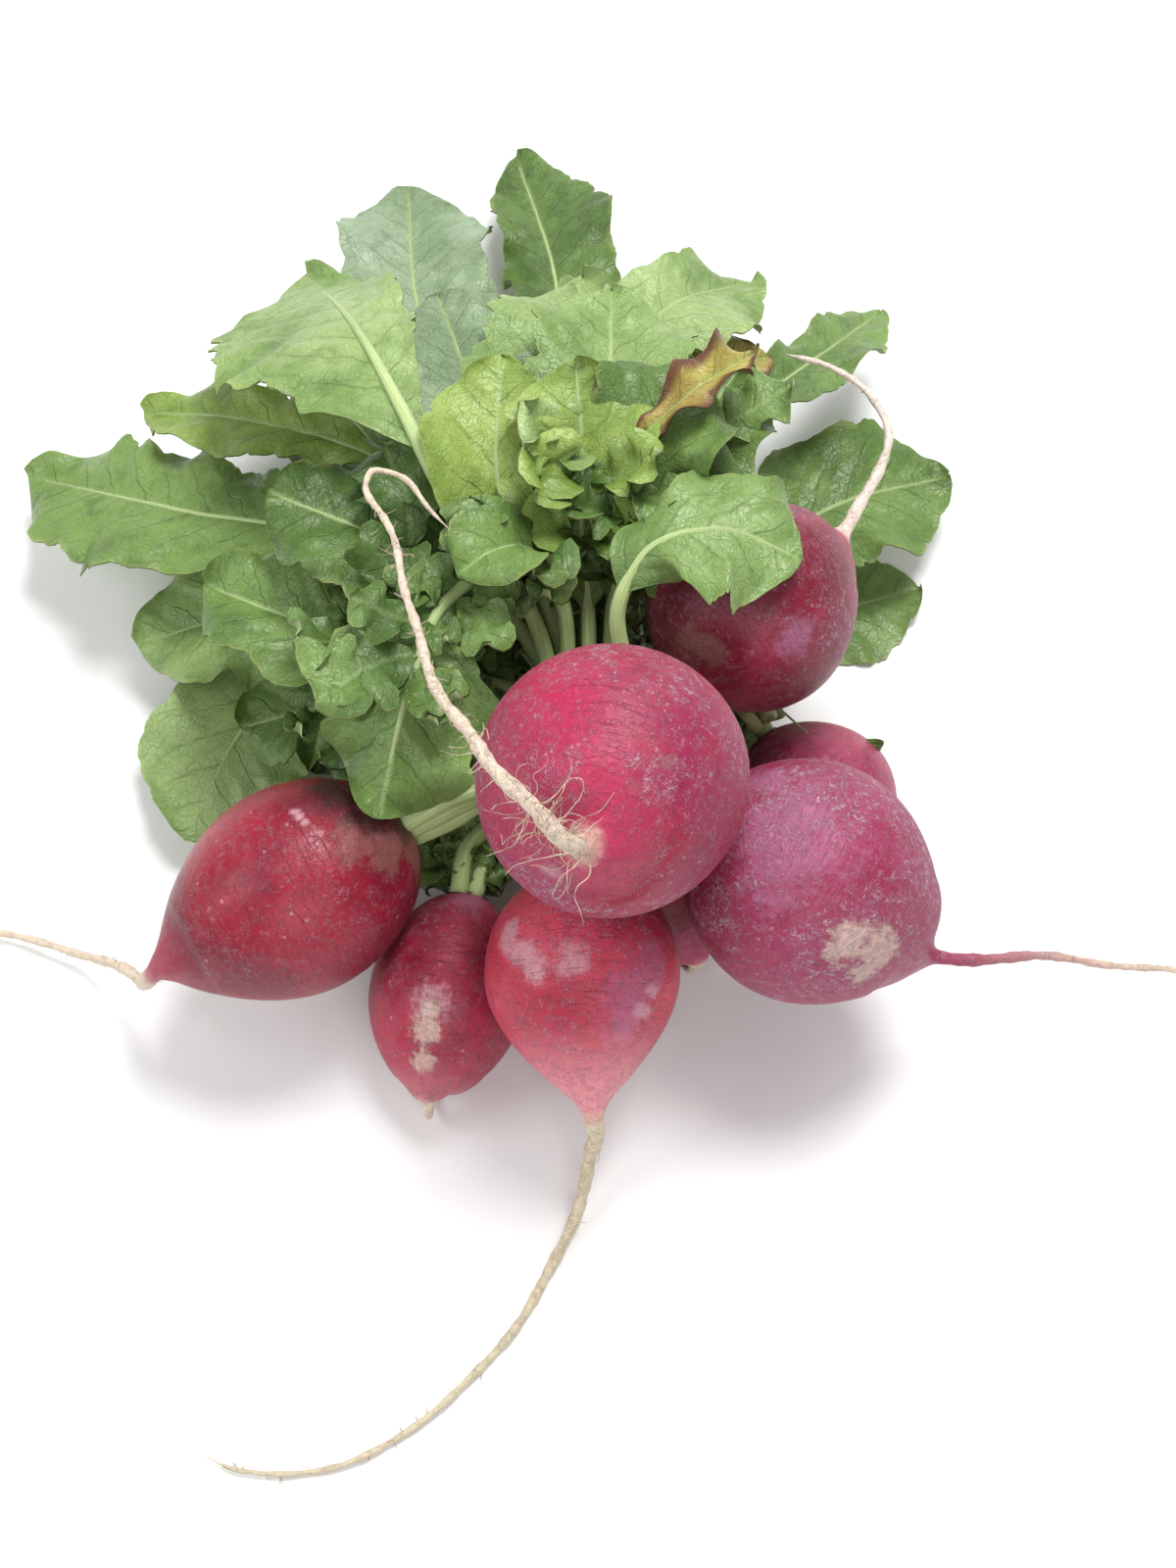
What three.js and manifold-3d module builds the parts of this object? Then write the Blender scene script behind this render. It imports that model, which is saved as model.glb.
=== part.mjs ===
// A bunch of radishes lying on a table: eight roots with their thin tap roots, the leaves on their
// long stalks, and the plain band that holds the stalks together. Millimetres, +Z up. X runs to the
// right and Y away from a viewer who faces the roots.
import * as THREE from 'three';
import { mergeVertices } from 'three/addons/utils/BufferGeometryUtils.js';
import Module from 'manifold-3d';

const wasm = await Module();
wasm.setup();

// Clear space kept between neighbouring pieces, and the thinnest leaf blade.
const GAP = 0.35;
const BLADE = 0.7;
const UP = new THREE.Vector3(0, 0, 1);

// The neck, where the stalks run side by side through the band: a grid of columns and rows.
const STALK_RADIUS = 1.5;
const NECK_PITCH_X = 3.4;
const NECK_PITCH_Z = 3.5;
const NECK_COLUMNS = 4;
const NECK_ROWS = 7;
const NECK_LEFT = -6.6;
const NECK_BOTTOM = 15;
const NECK_FRONT_Y = 10;
const NECK_BACK_Y = 19;
const BAND = { thick: 1.2, wide: 4, front: 12, corner: 1.9 };

// Each root: where its crown and tip are, its greatest radius and how far along that is, how
// sharply the tip half tapers, the points that its tap root runs through from the tip, and the tap
// root's radius at both ends.
const ROOTS = [
  {
    name: 'root_top', colour: '#a4305c', crown: [7, 0.2, 47.6], tip: [-0.6, -33.2, 74.4],
    radius: 20.2, belly: 0.47, taper: 0.55, tail: [1.9, 0.5],
    route: [[-3.4, -34.2, 78], [-8, -30, 81.5], [-13.5, -24.5, 82], [-19, -15, 80], [-24, -3, 77.5],
      [-27, 11, 74], [-31, 24, 71], [-33.8, 32, 68.5], [-33.4, 35, 66.8], [-29, 34.4, 65.5],
      [-24, 29, 65.5], [-21, 25, 66]],
  },
  {
    name: 'root_right', colour: '#a03460', crown: [17.4, -12, 42.4], tip: [53, -28, 26],
    radius: 18.8, belly: 0.47, taper: 0.58, tail: [1.5, 0.6],
    route: [[60, -28, 24.4], [70, -27.2, 23], [82, -27, 20.5], [92, -27.6, 18.5], [100, -28, 17]],
  },
  {
    name: 'root_front', colour: '#b5304f', crown: [-2, -17, 33.6], tip: [0.7, -52.6, 22.6],
    radius: 15.2, belly: 0.44, taper: 0.82, tail: [1.9, 0.45],
    route: [[1.1, -54.5, 12], [-0.2, -57.5, 6], [-2.4, -63, 2.2], [-6.8, -73, 1], [-16.2, -86, 0.9],
      [-26, -95.3, 0.9], [-37, -101, 0.8], [-47, -103, 0.7], [-54, -101.5, 0.7], [-58, -99.6, 0.7]],
  },
  {
    name: 'root_front_left', colour: '#a32a4c', crown: [-19.6, -12.2, 14.6], tip: [-25.6, -45.2, 8.8],
    radius: 12.6, belly: 0.5, taper: 0.52, tail: [1.5, 0.6],
    route: [[-25.8, -46.6, 6], [-26, -46.4, 3], [-25.6, -44, 1.2], [-25.4, -41.8, 0.9]],
  },
  {
    name: 'root_left', colour: '#8f1f3e', crown: [-28.2, -8, 31.4], tip: [-67, -29.5, 24],
    radius: 16.6, belly: 0.46, taper: 0.68, tail: [1.9, 0.7],
    route: [[-70.4, -28.6, 17], [-75.6, -23.4, 9.4], [-84, -18, 3.6], [-92, -15, 2.2], [-102, -13, 1.8]],
  },
  {
    name: 'root_upright', colour: '#8d1c38', crown: [13.4, 16.4, 39], tip: [41, 39.6, 41.2],
    radius: 17.2, belly: 0.46, taper: 0.55, tail: [1.6, 0.55],
    route: [[44, 44, 42.4], [48, 51, 44], [49.4, 59, 46], [47, 65, 47], [41, 70, 46], [34, 76, 43]],
  },
  {
    name: 'root_behind', colour: '#b04a6c', crown: [29, 16.2, 15.8], tip: [48, -4.8, 9.2],
    radius: 13.6, belly: 0.5, taper: 0.6, tail: [1.6, 0.6],
    route: [[50.4, -7, 6.6], [50, -11, 3], [46, -15, 1.4], [40, -17, 1.2]],
  },
  {
    name: 'root_under', colour: '#a42c4a', crown: [7.4, -1.4, 12.7], tip: [17.6, -21.4, 9.2],
    radius: 11.8, belly: 0.5, taper: 0.6, tail: [1.2, 0.6],
    route: [[17.6, -21.9, 6.6], [17, -20.9, 3.8], [16, -18.6, 1.8], [15.4, -17, 1.2]],
  },
];
const BULB_SIDES = 16;
const BULB_RINGS = 10;
const TAIL_SIDES = 8;
const TAIL_THINNING = 0.4;
const CROWN_RADIUS = 3.4;
const CROWN_ROUND = 0.5;
const CROWN_SHARE = 0.012;
const TIP_SHARE = 0.98;

// Each leaf: the root it grows from, its column and row in the neck, then the points that its stalk
// and midrib run through beyond the neck. A point is [x, y, level], where the level is 0 for a leaf
// on the table and 6 for one on top of the heap, or [x, y, z, 'z'] where the height is its own.
// blade is the blade's length and widths its greatest reach to each side of the midrib. lobes is
// how many lobes a side has, cut how deeply they are cut, fold how far the sides rise, wave how far
// the margin waves, and roll the turn round the midrib, at the blade's base and tip. A flipped leaf
// shows its underside.
const LEAVES = [
  {
    name: 'leaf_hanging', root: 'root_left', slot: [0, 6], flip: true, colour: '#5c7f44',
    points: [[-8.5, 24, 40, 'z'], [-14, 27, 50, 'z'], [-22, 19, 54, 'z'], [-28, 3, 51, 'z'],
      [-32, -13, 43, 'z']],
    blade: 44, widths: [15, 13], lobes: 3, cut: 0.17, fold: -0.15, wave: 2, roll: [0, 0],
  },
  {
    name: 'leaf_small_folded', root: 'root_top', slot: [1, 6], flip: false, colour: '#5d8a55',
    points: [[-4, 26, 42, 'z'], [-9, 29, 54, 'z'], [-15, 24, 61, 'z'], [-20, 19, 62, 'z']],
    blade: 24, widths: [9, 9], lobes: 2, cut: 0.17, fold: 0.45, wave: 1.2, roll: [0, 0],
  },
  {
    name: 'leaf_middle_top', root: 'root_top', slot: [2, 6], flip: false, colour: '#6c985a',
    points: [[0, 28, 39, 'z'], [-1, 36, 49, 'z'], [-1, 46, 59, 'z'], [-2, 58, 65, 'z']],
    blade: 42, widths: [14, 13], lobes: 3, cut: 0.17, fold: 0.15, wave: 2, roll: [0, 0],
  },
  {
    name: 'leaf_right_top', root: 'root_upright', slot: [3, 6], flip: false, colour: '#4f7a44',
    points: [[4, 28, 39, 'z'], [6, 36, 50, 'z'], [10, 47, 60, 'z'], [16, 60, 62, 'z']],
    blade: 44, widths: [13, 14], lobes: 3, cut: 0.2, fold: 0.15, wave: 2.2, roll: [0, 0],
  },
  {
    name: 'leaf_over_upright', root: 'root_upright', slot: null, flip: false, colour: '#8bb06e',
    points: [[6.5, 13, 44.5, 'z'], [4.6, 18, 54, 'z'], [10, 25, 61.5, 'z'], [20, 27, 63, 'z'],
      [33, 24, 59, 'z']],
    blade: 34, widths: [13, 15], lobes: 3, cut: 0.14, fold: -0.1, wave: 1.6, roll: [0, 0],
  },
  {
    name: 'leaf_upper_left_pale', root: 'root_left', slot: [0, 5], flip: true, colour: '#84a566',
    points: [[-12, 27, 5.4], [-22, 38, 6.1], [-35, 64, 6.2], [-50, 101, 6.1]],
    blade: 68, widths: [24.5, 12], lobes: 3, cut: 0.1, fold: -0.1, wave: 1.8, roll: [0, 0],
  },
  {
    name: 'leaf_centre_cupped', root: 'root_top', slot: [1, 5], flip: true, colour: '#93ad58',
    points: [[-7, 30, 5.5], [-14, 40, 6.2], [-14, 62, 6.5]],
    blade: 44, widths: [12, 10], lobes: 2, cut: 0.1, fold: 0.35, wave: 1.4, roll: [0, 0],
  },
  {
    name: 'leaf_centre_back', root: 'root_top', slot: [2, 5], flip: false, colour: '#5f8d52',
    points: [[0, 34, 5.4], [3, 52, 5.8], [4, 82, 5.8]],
    blade: 52, widths: [15, 15], lobes: 3, cut: 0.17, fold: 0.15, wave: 2.2, roll: [0, 0],
  },
  {
    name: 'leaf_right_ruffled', root: 'root_upright', slot: [3, 5], flip: false, colour: '#5a8548',
    points: [[5, 36, 5.2], [13, 46, 5.5], [25, 66, 5.6]],
    blade: 50, widths: [14, 14], lobes: 4, cut: 0.2, fold: 0.25, wave: 2.6, roll: [0, 0],
  },
  {
    name: 'leaf_left_dark', root: 'root_left', slot: [0, 4], flip: false, colour: '#4c7340',
    points: [[-12, 25, 4.7], [-26, 33, 5], [-52, 44, 5.2]],
    blade: 56, widths: [15, 16], lobes: 3, cut: 0.17, fold: 0.15, wave: 2.2, roll: [0, 0],
  },
  {
    name: 'leaf_back_left_mid', root: 'root_front', slot: [1, 4], flip: false, colour: '#6f9a5a',
    points: [[-8, 38, 4.6], [-18, 62, 4.9], [-26, 92, 4.9]],
    blade: 60, widths: [16, 15], lobes: 3, cut: 0.17, fold: 0.15, wave: 2.2, roll: [0, 0],
  },
  {
    name: 'leaf_centre_pale', root: 'root_top', slot: [2, 4], flip: true, colour: '#86a765',
    points: [[-3, 38, 4.6], [-5, 60, 5.2], [-1, 90, 5.5]],
    blade: 58, widths: [16, 14], lobes: 3, cut: 0.14, fold: 0.15, wave: 2, roll: [0, 0],
  },
  {
    name: 'leaf_right_light', root: 'root_right', slot: [3, 4], flip: false, colour: '#7fa75c',
    points: [[3, 40, 4.5], [4, 64, 4.9], [12, 82, 5.1], [29, 99, 5.1]],
    blade: 58, widths: [9.5, 14.5], lobes: 3, cut: 0.12, fold: 0.25, wave: 2.2, roll: [0, 0],
  },
  {
    name: 'leaf_left_curled', root: 'root_left', slot: [0, 3], flip: false, colour: '#6d8a45',
    points: [[-14, 20, 3.9], [-31, 21, 4.1], [-48, 26, 4.1], [-63, 34, 3.9]],
    blade: 48, widths: [13, 13], lobes: 3, cut: 0.14, fold: 0.35, wave: 1.8, roll: [0, 0],
  },
  {
    name: 'leaf_left_slim', root: 'root_front', slot: [1, 3], flip: false, colour: '#88a14a',
    points: [[-12, 36, 3.4], [-32, 58, 3.6], [-60, 73, 3.7], [-80, 83, 3.5]],
    blade: 60, widths: [9, 8], lobes: 3, cut: 0.14, fold: 0.2, wave: 1.6, roll: [0, 0],
  },
  {
    name: 'leaf_back_middle', root: 'root_front', slot: [2, 3], flip: false, colour: '#5b8450',
    points: [[0, 40, 3.5], [3, 70, 3.9], [12, 106, 4.1]],
    blade: 66, widths: [17, 17], lobes: 3, cut: 0.17, fold: 0.12, wave: 2.2, roll: [0, 0],
  },
  {
    name: 'leaf_dry_yellow', root: 'root_right', slot: [3, 3], flip: false, colour: '#a59a3c',
    points: [[4.5, 38, 3.8], [9, 56, 4.2], [17, 70, 4.4], [31, 80, 4.3]],
    blade: 34, widths: [10, 9], lobes: 2, cut: 0.17, fold: 0.3, wave: 2, roll: [0, 0],
  },
  {
    name: 'leaf_beside_left', root: 'root_left', slot: null, flip: false, colour: '#3f6236',
    points: [[-24, 4, 27, 'z'], [-31, 13, 26, 'z'], [-43, 18, 23, 'z'], [-58, 16, 20, 'z']],
    blade: 36, widths: [14, 13], lobes: 3, cut: 0.17, fold: 0.15, wave: 2, roll: [0, 0],
  },
  {
    name: 'leaf_left_big', root: 'root_left', slot: [0, 2], flip: false, colour: '#4f7a44',
    points: [[-14, 28, 2.6], [-38, 46, 3], [-70, 57, 3], [-101.5, 74, 2.8]],
    blade: 80, widths: [17, 15], lobes: 4, cut: 0.17, fold: 0.1, wave: 1.8, roll: [0, 0],
  },
  {
    name: 'leaf_top_left_grey', root: 'root_under', slot: [1, 2], flip: false, colour: '#6f9566',
    points: [[-8, 38, 2.5], [-20, 70, 2.7], [-31, 104, 3.1], [-35, 142.5, 3.4]],
    blade: 76, widths: [15.5, 16.5], lobes: 3, cut: 0.17, fold: 0.1, wave: 1.8, roll: [0, 0],
  },
  {
    name: 'leaf_far_back', root: 'root_front', slot: [2, 2], flip: false, colour: '#4b7444',
    points: [[-2, 40, 2.5], [-5, 76, 2.8], [-6, 112, 3.2], [-14, 150, 3.4]],
    blade: 80, widths: [10, 14.5], lobes: 3, cut: 0.2, fold: 0.12, wave: 2, roll: [0, 0],
  },
  {
    name: 'leaf_right_pointed', root: 'root_right', slot: [3, 2], flip: false, colour: '#567f4a',
    points: [[5, 38, 2.6], [12, 64, 3], [32, 80, 3.2], [54.5, 108.5, 3.3]],
    blade: 60, widths: [6.5, 9], lobes: 3, cut: 0.12, fold: 0.2, wave: 1.8, roll: [0, 0],
  },
  {
    name: 'leaf_left_second', root: 'root_front_left', slot: [0, 1], flip: false, colour: '#5d8a4c',
    points: [[-14, 24, 1.7], [-34, 34, 1.8], [-56, 41, 1.7], [-78.5, 37.5, 1.4]],
    blade: 56, widths: [16, 16], lobes: 3, cut: 0.17, fold: 0.1, wave: 1.8, roll: [0, 0],
  },
  {
    name: 'leaf_back_left_under', root: 'root_front_left', slot: [1, 1], flip: false, colour: '#44693b',
    points: [[-10, 34, 1.5], [-28, 62, 1.6], [-52, 98, 1.7]],
    blade: 80, widths: [17, 17], lobes: 3, cut: 0.17, fold: 0.1, wave: 1.6, roll: [0, 0],
  },
  {
    name: 'leaf_back_under', root: 'root_under', slot: [2, 1], flip: false, colour: '#4a7040',
    points: [[1, 38, 1.5], [6, 70, 1.8], [10, 112, 2]],
    blade: 78, widths: [18, 18], lobes: 3, cut: 0.17, fold: 0.1, wave: 1.6, roll: [0, 0],
  },
  {
    name: 'leaf_right_broad', root: 'root_behind', slot: [3, 1], flip: false, colour: '#5d8650',
    points: [[9, 31, 1.3], [25, 50, 1.3], [44, 66, 1.3], [65.5, 75, 1.2]],
    blade: 54, widths: [15, 16], lobes: 3, cut: 0.12, fold: 0.1, wave: 1.6, roll: [0, 0],
  },
  {
    name: 'leaf_left_low', root: 'root_front_left', slot: [0, 0], flip: true, colour: '#7d9a62',
    points: [[-15, 21, 1.2], [-36, 29, 1], [-54.5, 26, 1], [-68, 1.5, 0.7]],
    blade: 52, widths: [15, 16], lobes: 3, cut: 0.12, fold: 0.1, wave: 1.4, roll: [0, 0],
  },
  {
    name: 'leaf_under_left', root: 'root_front_left', slot: null, flip: false, colour: '#3f6236',
    points: [[-21, -4, 12, 'z'], [-25, 2, 7, 'z'], [-33, 5, 3, 'z'], [-46, 4, 1.2, 'z']],
    blade: 28, widths: [10, 10], lobes: 2, cut: 0.14, fold: 0.05, wave: 1, roll: [0, 0],
  },
  {
    name: 'leaf_table_left', root: 'root_front_left', slot: [1, 0], flip: false, colour: '#3f6236',
    points: [[-12, 32, 0.3], [-34, 50, 0.05], [-66, 64, 0]],
    blade: 80, widths: [19, 19], lobes: 3, cut: 0.17, fold: 0.05, wave: 0.8, roll: [0, 0],
  },
  {
    name: 'leaf_table_back', root: 'root_under', slot: [2, 0], flip: false, colour: '#3f6236',
    points: [[0, 34, 0.3], [4, 58, 0.05], [12, 88, 0]],
    blade: 70, widths: [17, 17], lobes: 3, cut: 0.17, fold: 0.05, wave: 0.8, roll: [0, 0],
  },
  {
    name: 'leaf_right_low', root: 'root_behind', slot: [3, 0], flip: false, colour: '#57784a',
    points: [[9, 26, 0.4], [26, 40, 0.2], [43, 50, 0.05], [60, 56, 0]],
    blade: 38, widths: [12, 12], lobes: 2, cut: 0.1, fold: 0.06, wave: 1.2, roll: [0, 0],
  },
];
const BLADE_STEPS = 10;
const BLADE_SPAN = [0.02, 0.985];
const OUTLINE_LEAN = 1.45;
const OUTLINE_ROUND = 0.6;
const LEAST_HALF = 1.2;
const LOBES_FORWARD = 0.12;
const RIDGE = 1.1;
const STALK_TAPER = 0.25;
const CROWN_PITCH = 2.1;
const CROWN_ZIGZAG = 1.7;

// Height of a level of the leaf heap at a place: the heap starts at the neck, swells behind it and
// thins out towards its rim.
const HEAP = { x: -2, y: 15, neckTop: 36, swell: 20, sink: 40 };

function smoothstep(low, high, value) {
  const t = Math.min(1, Math.max(0, (value - low) / (high - low)));
  return t * t * (3 - 2 * t);
}

function heapHeight(x, y, level) {
  const reach = Math.hypot(x - HEAP.x, y - HEAP.y);
  const rest = BLADE / 2;
  const low = rest + (NECK_BOTTOM - rest) * Math.exp(-((reach / 14) ** 2));
  const swell = HEAP.swell * smoothstep(8, 38, reach);
  const sink = HEAP.sink * smoothstep(58, 130, reach);
  const high = HEAP.neckTop + swell - sink;
  return low + (level / (NECK_ROWS - 1)) * (high - low);
}

// A smooth line through points, held as close samples with their distance along it.
class Path {
  constructor(points) {
    const perSpan = 12;
    const count = points.length;
    const gaps = points.slice(1).map((p, i) => p.distanceTo(points[i]));
    const slopes = points.map((p, i) => {
      if (i === 0) return points[1].clone().sub(p).divideScalar(gaps[0]);
      if (i === count - 1) return p.clone().sub(points[i - 1]).divideScalar(gaps[i - 1]);
      const before = p.clone().sub(points[i - 1]).divideScalar(gaps[i - 1]).multiplyScalar(gaps[i]);
      const after = points[i + 1].clone().sub(p).divideScalar(gaps[i]).multiplyScalar(gaps[i - 1]);
      return before.add(after).divideScalar(gaps[i] + gaps[i - 1]);
    });
    this.samples = [];
    for (let i = 0; i < count - 1; i++) {
      for (let k = 0; k < perSpan; k++) {
        const t = k / perSpan;
        this.samples.push(Path.hermite(points[i], points[i + 1], slopes[i], slopes[i + 1], gaps[i], t));
      }
    }
    this.samples.push(points[count - 1].clone());
    this.along = [0];
    for (let i = 1; i < this.samples.length; i++) {
      this.along.push(this.along[i - 1] + this.samples[i].distanceTo(this.samples[i - 1]));
    }
    this.length = this.along[this.along.length - 1];
    this.marks = points.map((p, i) => this.along[i * perSpan]);
  }

  static hermite(a, b, slopeA, slopeB, span, t) {
    const t2 = t * t;
    const t3 = t2 * t;
    return a.clone().multiplyScalar(2 * t3 - 3 * t2 + 1)
      .addScaledVector(slopeA, span * (t3 - 2 * t2 + t))
      .addScaledVector(b, 3 * t2 - 2 * t3)
      .addScaledVector(slopeB, span * (t3 - t2));
  }

  at(distance) {
    const d = Math.min(this.length, Math.max(0, distance));
    let i = 1;
    while (i < this.along.length - 1 && this.along[i] < d) i++;
    const t = (d - this.along[i - 1]) / (this.along[i] - this.along[i - 1]);
    return this.samples[i - 1].clone().lerp(this.samples[i], t);
  }

  direction(distance) {
    const reach = 0.6;
    return this.at(distance + reach).sub(this.at(distance - reach)).normalize();
  }
}

// A closed solid skinned over rings of points. A ring's first half is the upper face and its second
// half the lower one, split into triangles alike. A ring may have twice or half its neighbour's
// points. The ends are closed by a strip from the upper face to the lower one.
function skin(rings) {
  const positions = [];
  const index = [];
  const starts = [];
  for (const ring of rings) {
    starts.push(positions.length / 3);
    for (const p of ring) positions.push(p.x, p.y, p.z);
  }
  for (let r = 0; r < rings.length - 1; r++) {
    const n = rings[r].length;
    const m = rings[r + 1].length;
    const a = (k) => starts[r] + (k % n);
    const b = (k) => starts[r + 1] + (k % m);
    for (let k = 0; k < Math.min(n, m); k++) {
      if (n === m && k < n / 2 - 1) index.push(a(k), a(k + 1), b(k + 1), a(k), b(k + 1), b(k));
      else if (n === m) index.push(a(k), a(k + 1), b(k), a(k + 1), b(k + 1), b(k));
      else if (n > m) {
        index.push(a(2 * k), a(2 * k + 1), b(k));
        index.push(a(2 * k + 1), b(k + 1), b(k));
        index.push(a(2 * k + 1), a(2 * k + 2), b(k + 1));
      } else {
        index.push(a(k), b(2 * k + 1), b(2 * k));
        index.push(a(k), a(k + 1), b(2 * k + 1));
        index.push(a(k + 1), b(2 * k + 2), b(2 * k + 1));
      }
    }
  }
  for (const [start, n, first] of [[starts[0], rings[0].length, true],
    [starts[starts.length - 1], rings[rings.length - 1].length, false]]) {
    for (let i = 0, j = n - 1; i < j; i++, j--) {
      const faces = i + 1 < j - 1 ? [[i, i + 1, j], [i + 1, j - 1, j]] : [[i, i + 1, j]];
      for (const [p, q, s] of faces) {
        if (p === q || q === s || p === s) continue;
        if (first) index.push(start + p, start + s, start + q);
        else index.push(start + p, start + q, start + s);
      }
    }
  }
  const geometry = new THREE.BufferGeometry();
  geometry.setAttribute('position', new THREE.Float32BufferAttribute(positions, 3));
  geometry.setIndex(index);
  return facingOut(geometry);
}

// Turns every face round when the solid is inside out.
function facingOut(geometry) {
  const p = geometry.getAttribute('position');
  const index = geometry.getIndex().array;
  const [a, b, c] = [new THREE.Vector3(), new THREE.Vector3(), new THREE.Vector3()];
  let volume = 0;
  for (let i = 0; i < index.length; i += 3) {
    a.fromBufferAttribute(p, index[i]);
    b.fromBufferAttribute(p, index[i + 1]);
    c.fromBufferAttribute(p, index[i + 2]);
    volume += a.dot(b.cross(c));
  }
  if (volume < 0) {
    for (let i = 0; i < index.length; i += 3) [index[i], index[i + 1]] = [index[i + 1], index[i]];
  }
  return geometry;
}

function vector(list) {
  return new THREE.Vector3(list[0], list[1], list[2]);
}

// A root: a round bulb from its flat crown to its tip, drawn out into the tap root. grow makes it
// larger all round, to keep its neighbours clear. Nothing reaches below the table.
function rootGeometry(root, grow) {
  const crown = vector(root.crown);
  const tip = vector(root.tip);
  const axis = tip.clone().sub(crown);
  const route = root.route.map(vector);
  const tail = new Path([crown.clone().lerp(tip, 0.85), tip, ...route]);
  const [thick, thin] = root.tail;
  const power = Math.log(0.5) / Math.log(root.belly);
  const rings = [];
  let side = new THREE.Vector3(0, 0, 1).cross(axis).normalize();
  const addRing = (centre, direction, radius, sides) => {
    side = side.clone().addScaledVector(direction, -side.dot(direction)).normalize();
    const other = direction.clone().cross(side);
    const ring = [];
    for (let k = 0; k < sides; k++) {
      const angle = (2 * Math.PI * (k + 0.5)) / sides;
      const p = centre.clone().addScaledVector(side, Math.cos(angle) * (radius + grow));
      p.addScaledVector(other, Math.sin(angle) * (radius + grow));
      p.z = Math.max(p.z, -grow);
      ring.push(p);
    }
    rings.push(ring);
  };
  const direction = axis.clone().normalize();
  for (let i = 0; i <= BULB_RINGS; i++) {
    const spread = 0.5 - 0.5 * Math.cos((Math.PI * i) / BULB_RINGS);
    const u = CROWN_SHARE + (TIP_SHARE - CROWN_SHARE) * spread;
    const blunt = u < root.belly ? CROWN_ROUND : root.taper;
    const round = root.radius * Math.sin(Math.PI * u ** power) ** blunt;
    const neck = thick * smoothstep(0.6, 1, u);
    const radius = Math.max((round ** 3 + neck ** 3) ** (1 / 3), i === 0 ? CROWN_RADIUS : 0);
    const centre = crown.clone().addScaledVector(axis, u);
    if (i === 0) centre.addScaledVector(direction, -grow);
    addRing(centre, direction, radius, BULB_SIDES);
  }
  const steps = route.length * 2;
  for (let i = 0; i <= steps; i++) {
    const span = tail.length - tail.marks[1];
    const distance = tail.marks[1] + span * (i / steps);
    const radius = thick + (thin - thick) * (i / steps) ** TAIL_THINNING;
    addRing(tail.at(distance), tail.direction(distance), radius, TAIL_SIDES);
  }
  return skin(rings);
}

// Where a leaf's stalk starts: on its root's crown, in a double row in the order of the rows.
function stalkStart(leaf) {
  const root = ROOTS.find((r) => r.name === leaf.root);
  const crown = vector(root.crown);
  const outward = crown.clone().sub(vector(root.tip)).normalize();
  const mates = LEAVES.filter((l) => l.root === leaf.root);
  const place = mates.indexOf(leaf);
  const rise = UP.clone().addScaledVector(outward, -UP.dot(outward)).normalize();
  const across = outward.clone().cross(rise);
  const start = crown.clone().addScaledVector(outward, GAP + 0.25);
  start.addScaledVector(rise, CROWN_PITCH * (place - (mates.length - 1) / 2));
  start.addScaledVector(across, place % 2 ? CROWN_ZIGZAG : -CROWN_ZIGZAG);
  return [start, start.clone().addScaledVector(outward, 4)];
}

function leafPath(leaf) {
  const points = stalkStart(leaf);
  if (leaf.slot) {
    const x = NECK_LEFT + NECK_PITCH_X * leaf.slot[0];
    const z = NECK_BOTTOM + NECK_PITCH_Z * leaf.slot[1];
    points.push(new THREE.Vector3(x, NECK_FRONT_Y, z), new THREE.Vector3(x, NECK_BACK_Y, z));
  }
  for (const [x, y, level, own] of leaf.points) {
    points.push(new THREE.Vector3(x, y, own ? level : heapHeight(x, y, level)));
  }
  return new Path(points);
}

// Half the blade's width at a share of its length, for one side: it widens towards the tip and is
// cut into lobes.
function reach(leaf, share, sideIndex) {
  const outline = Math.sin(Math.PI * Math.min(1, share) ** OUTLINE_LEAN) ** OUTLINE_ROUND;
  const notch = 0.5 + 0.5 * Math.cos(2 * Math.PI * (share * leaf.lobes + 0.25 * sideIndex));
  return leaf.widths[sideIndex] * outline * (1 - leaf.cut * notch);
}

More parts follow.
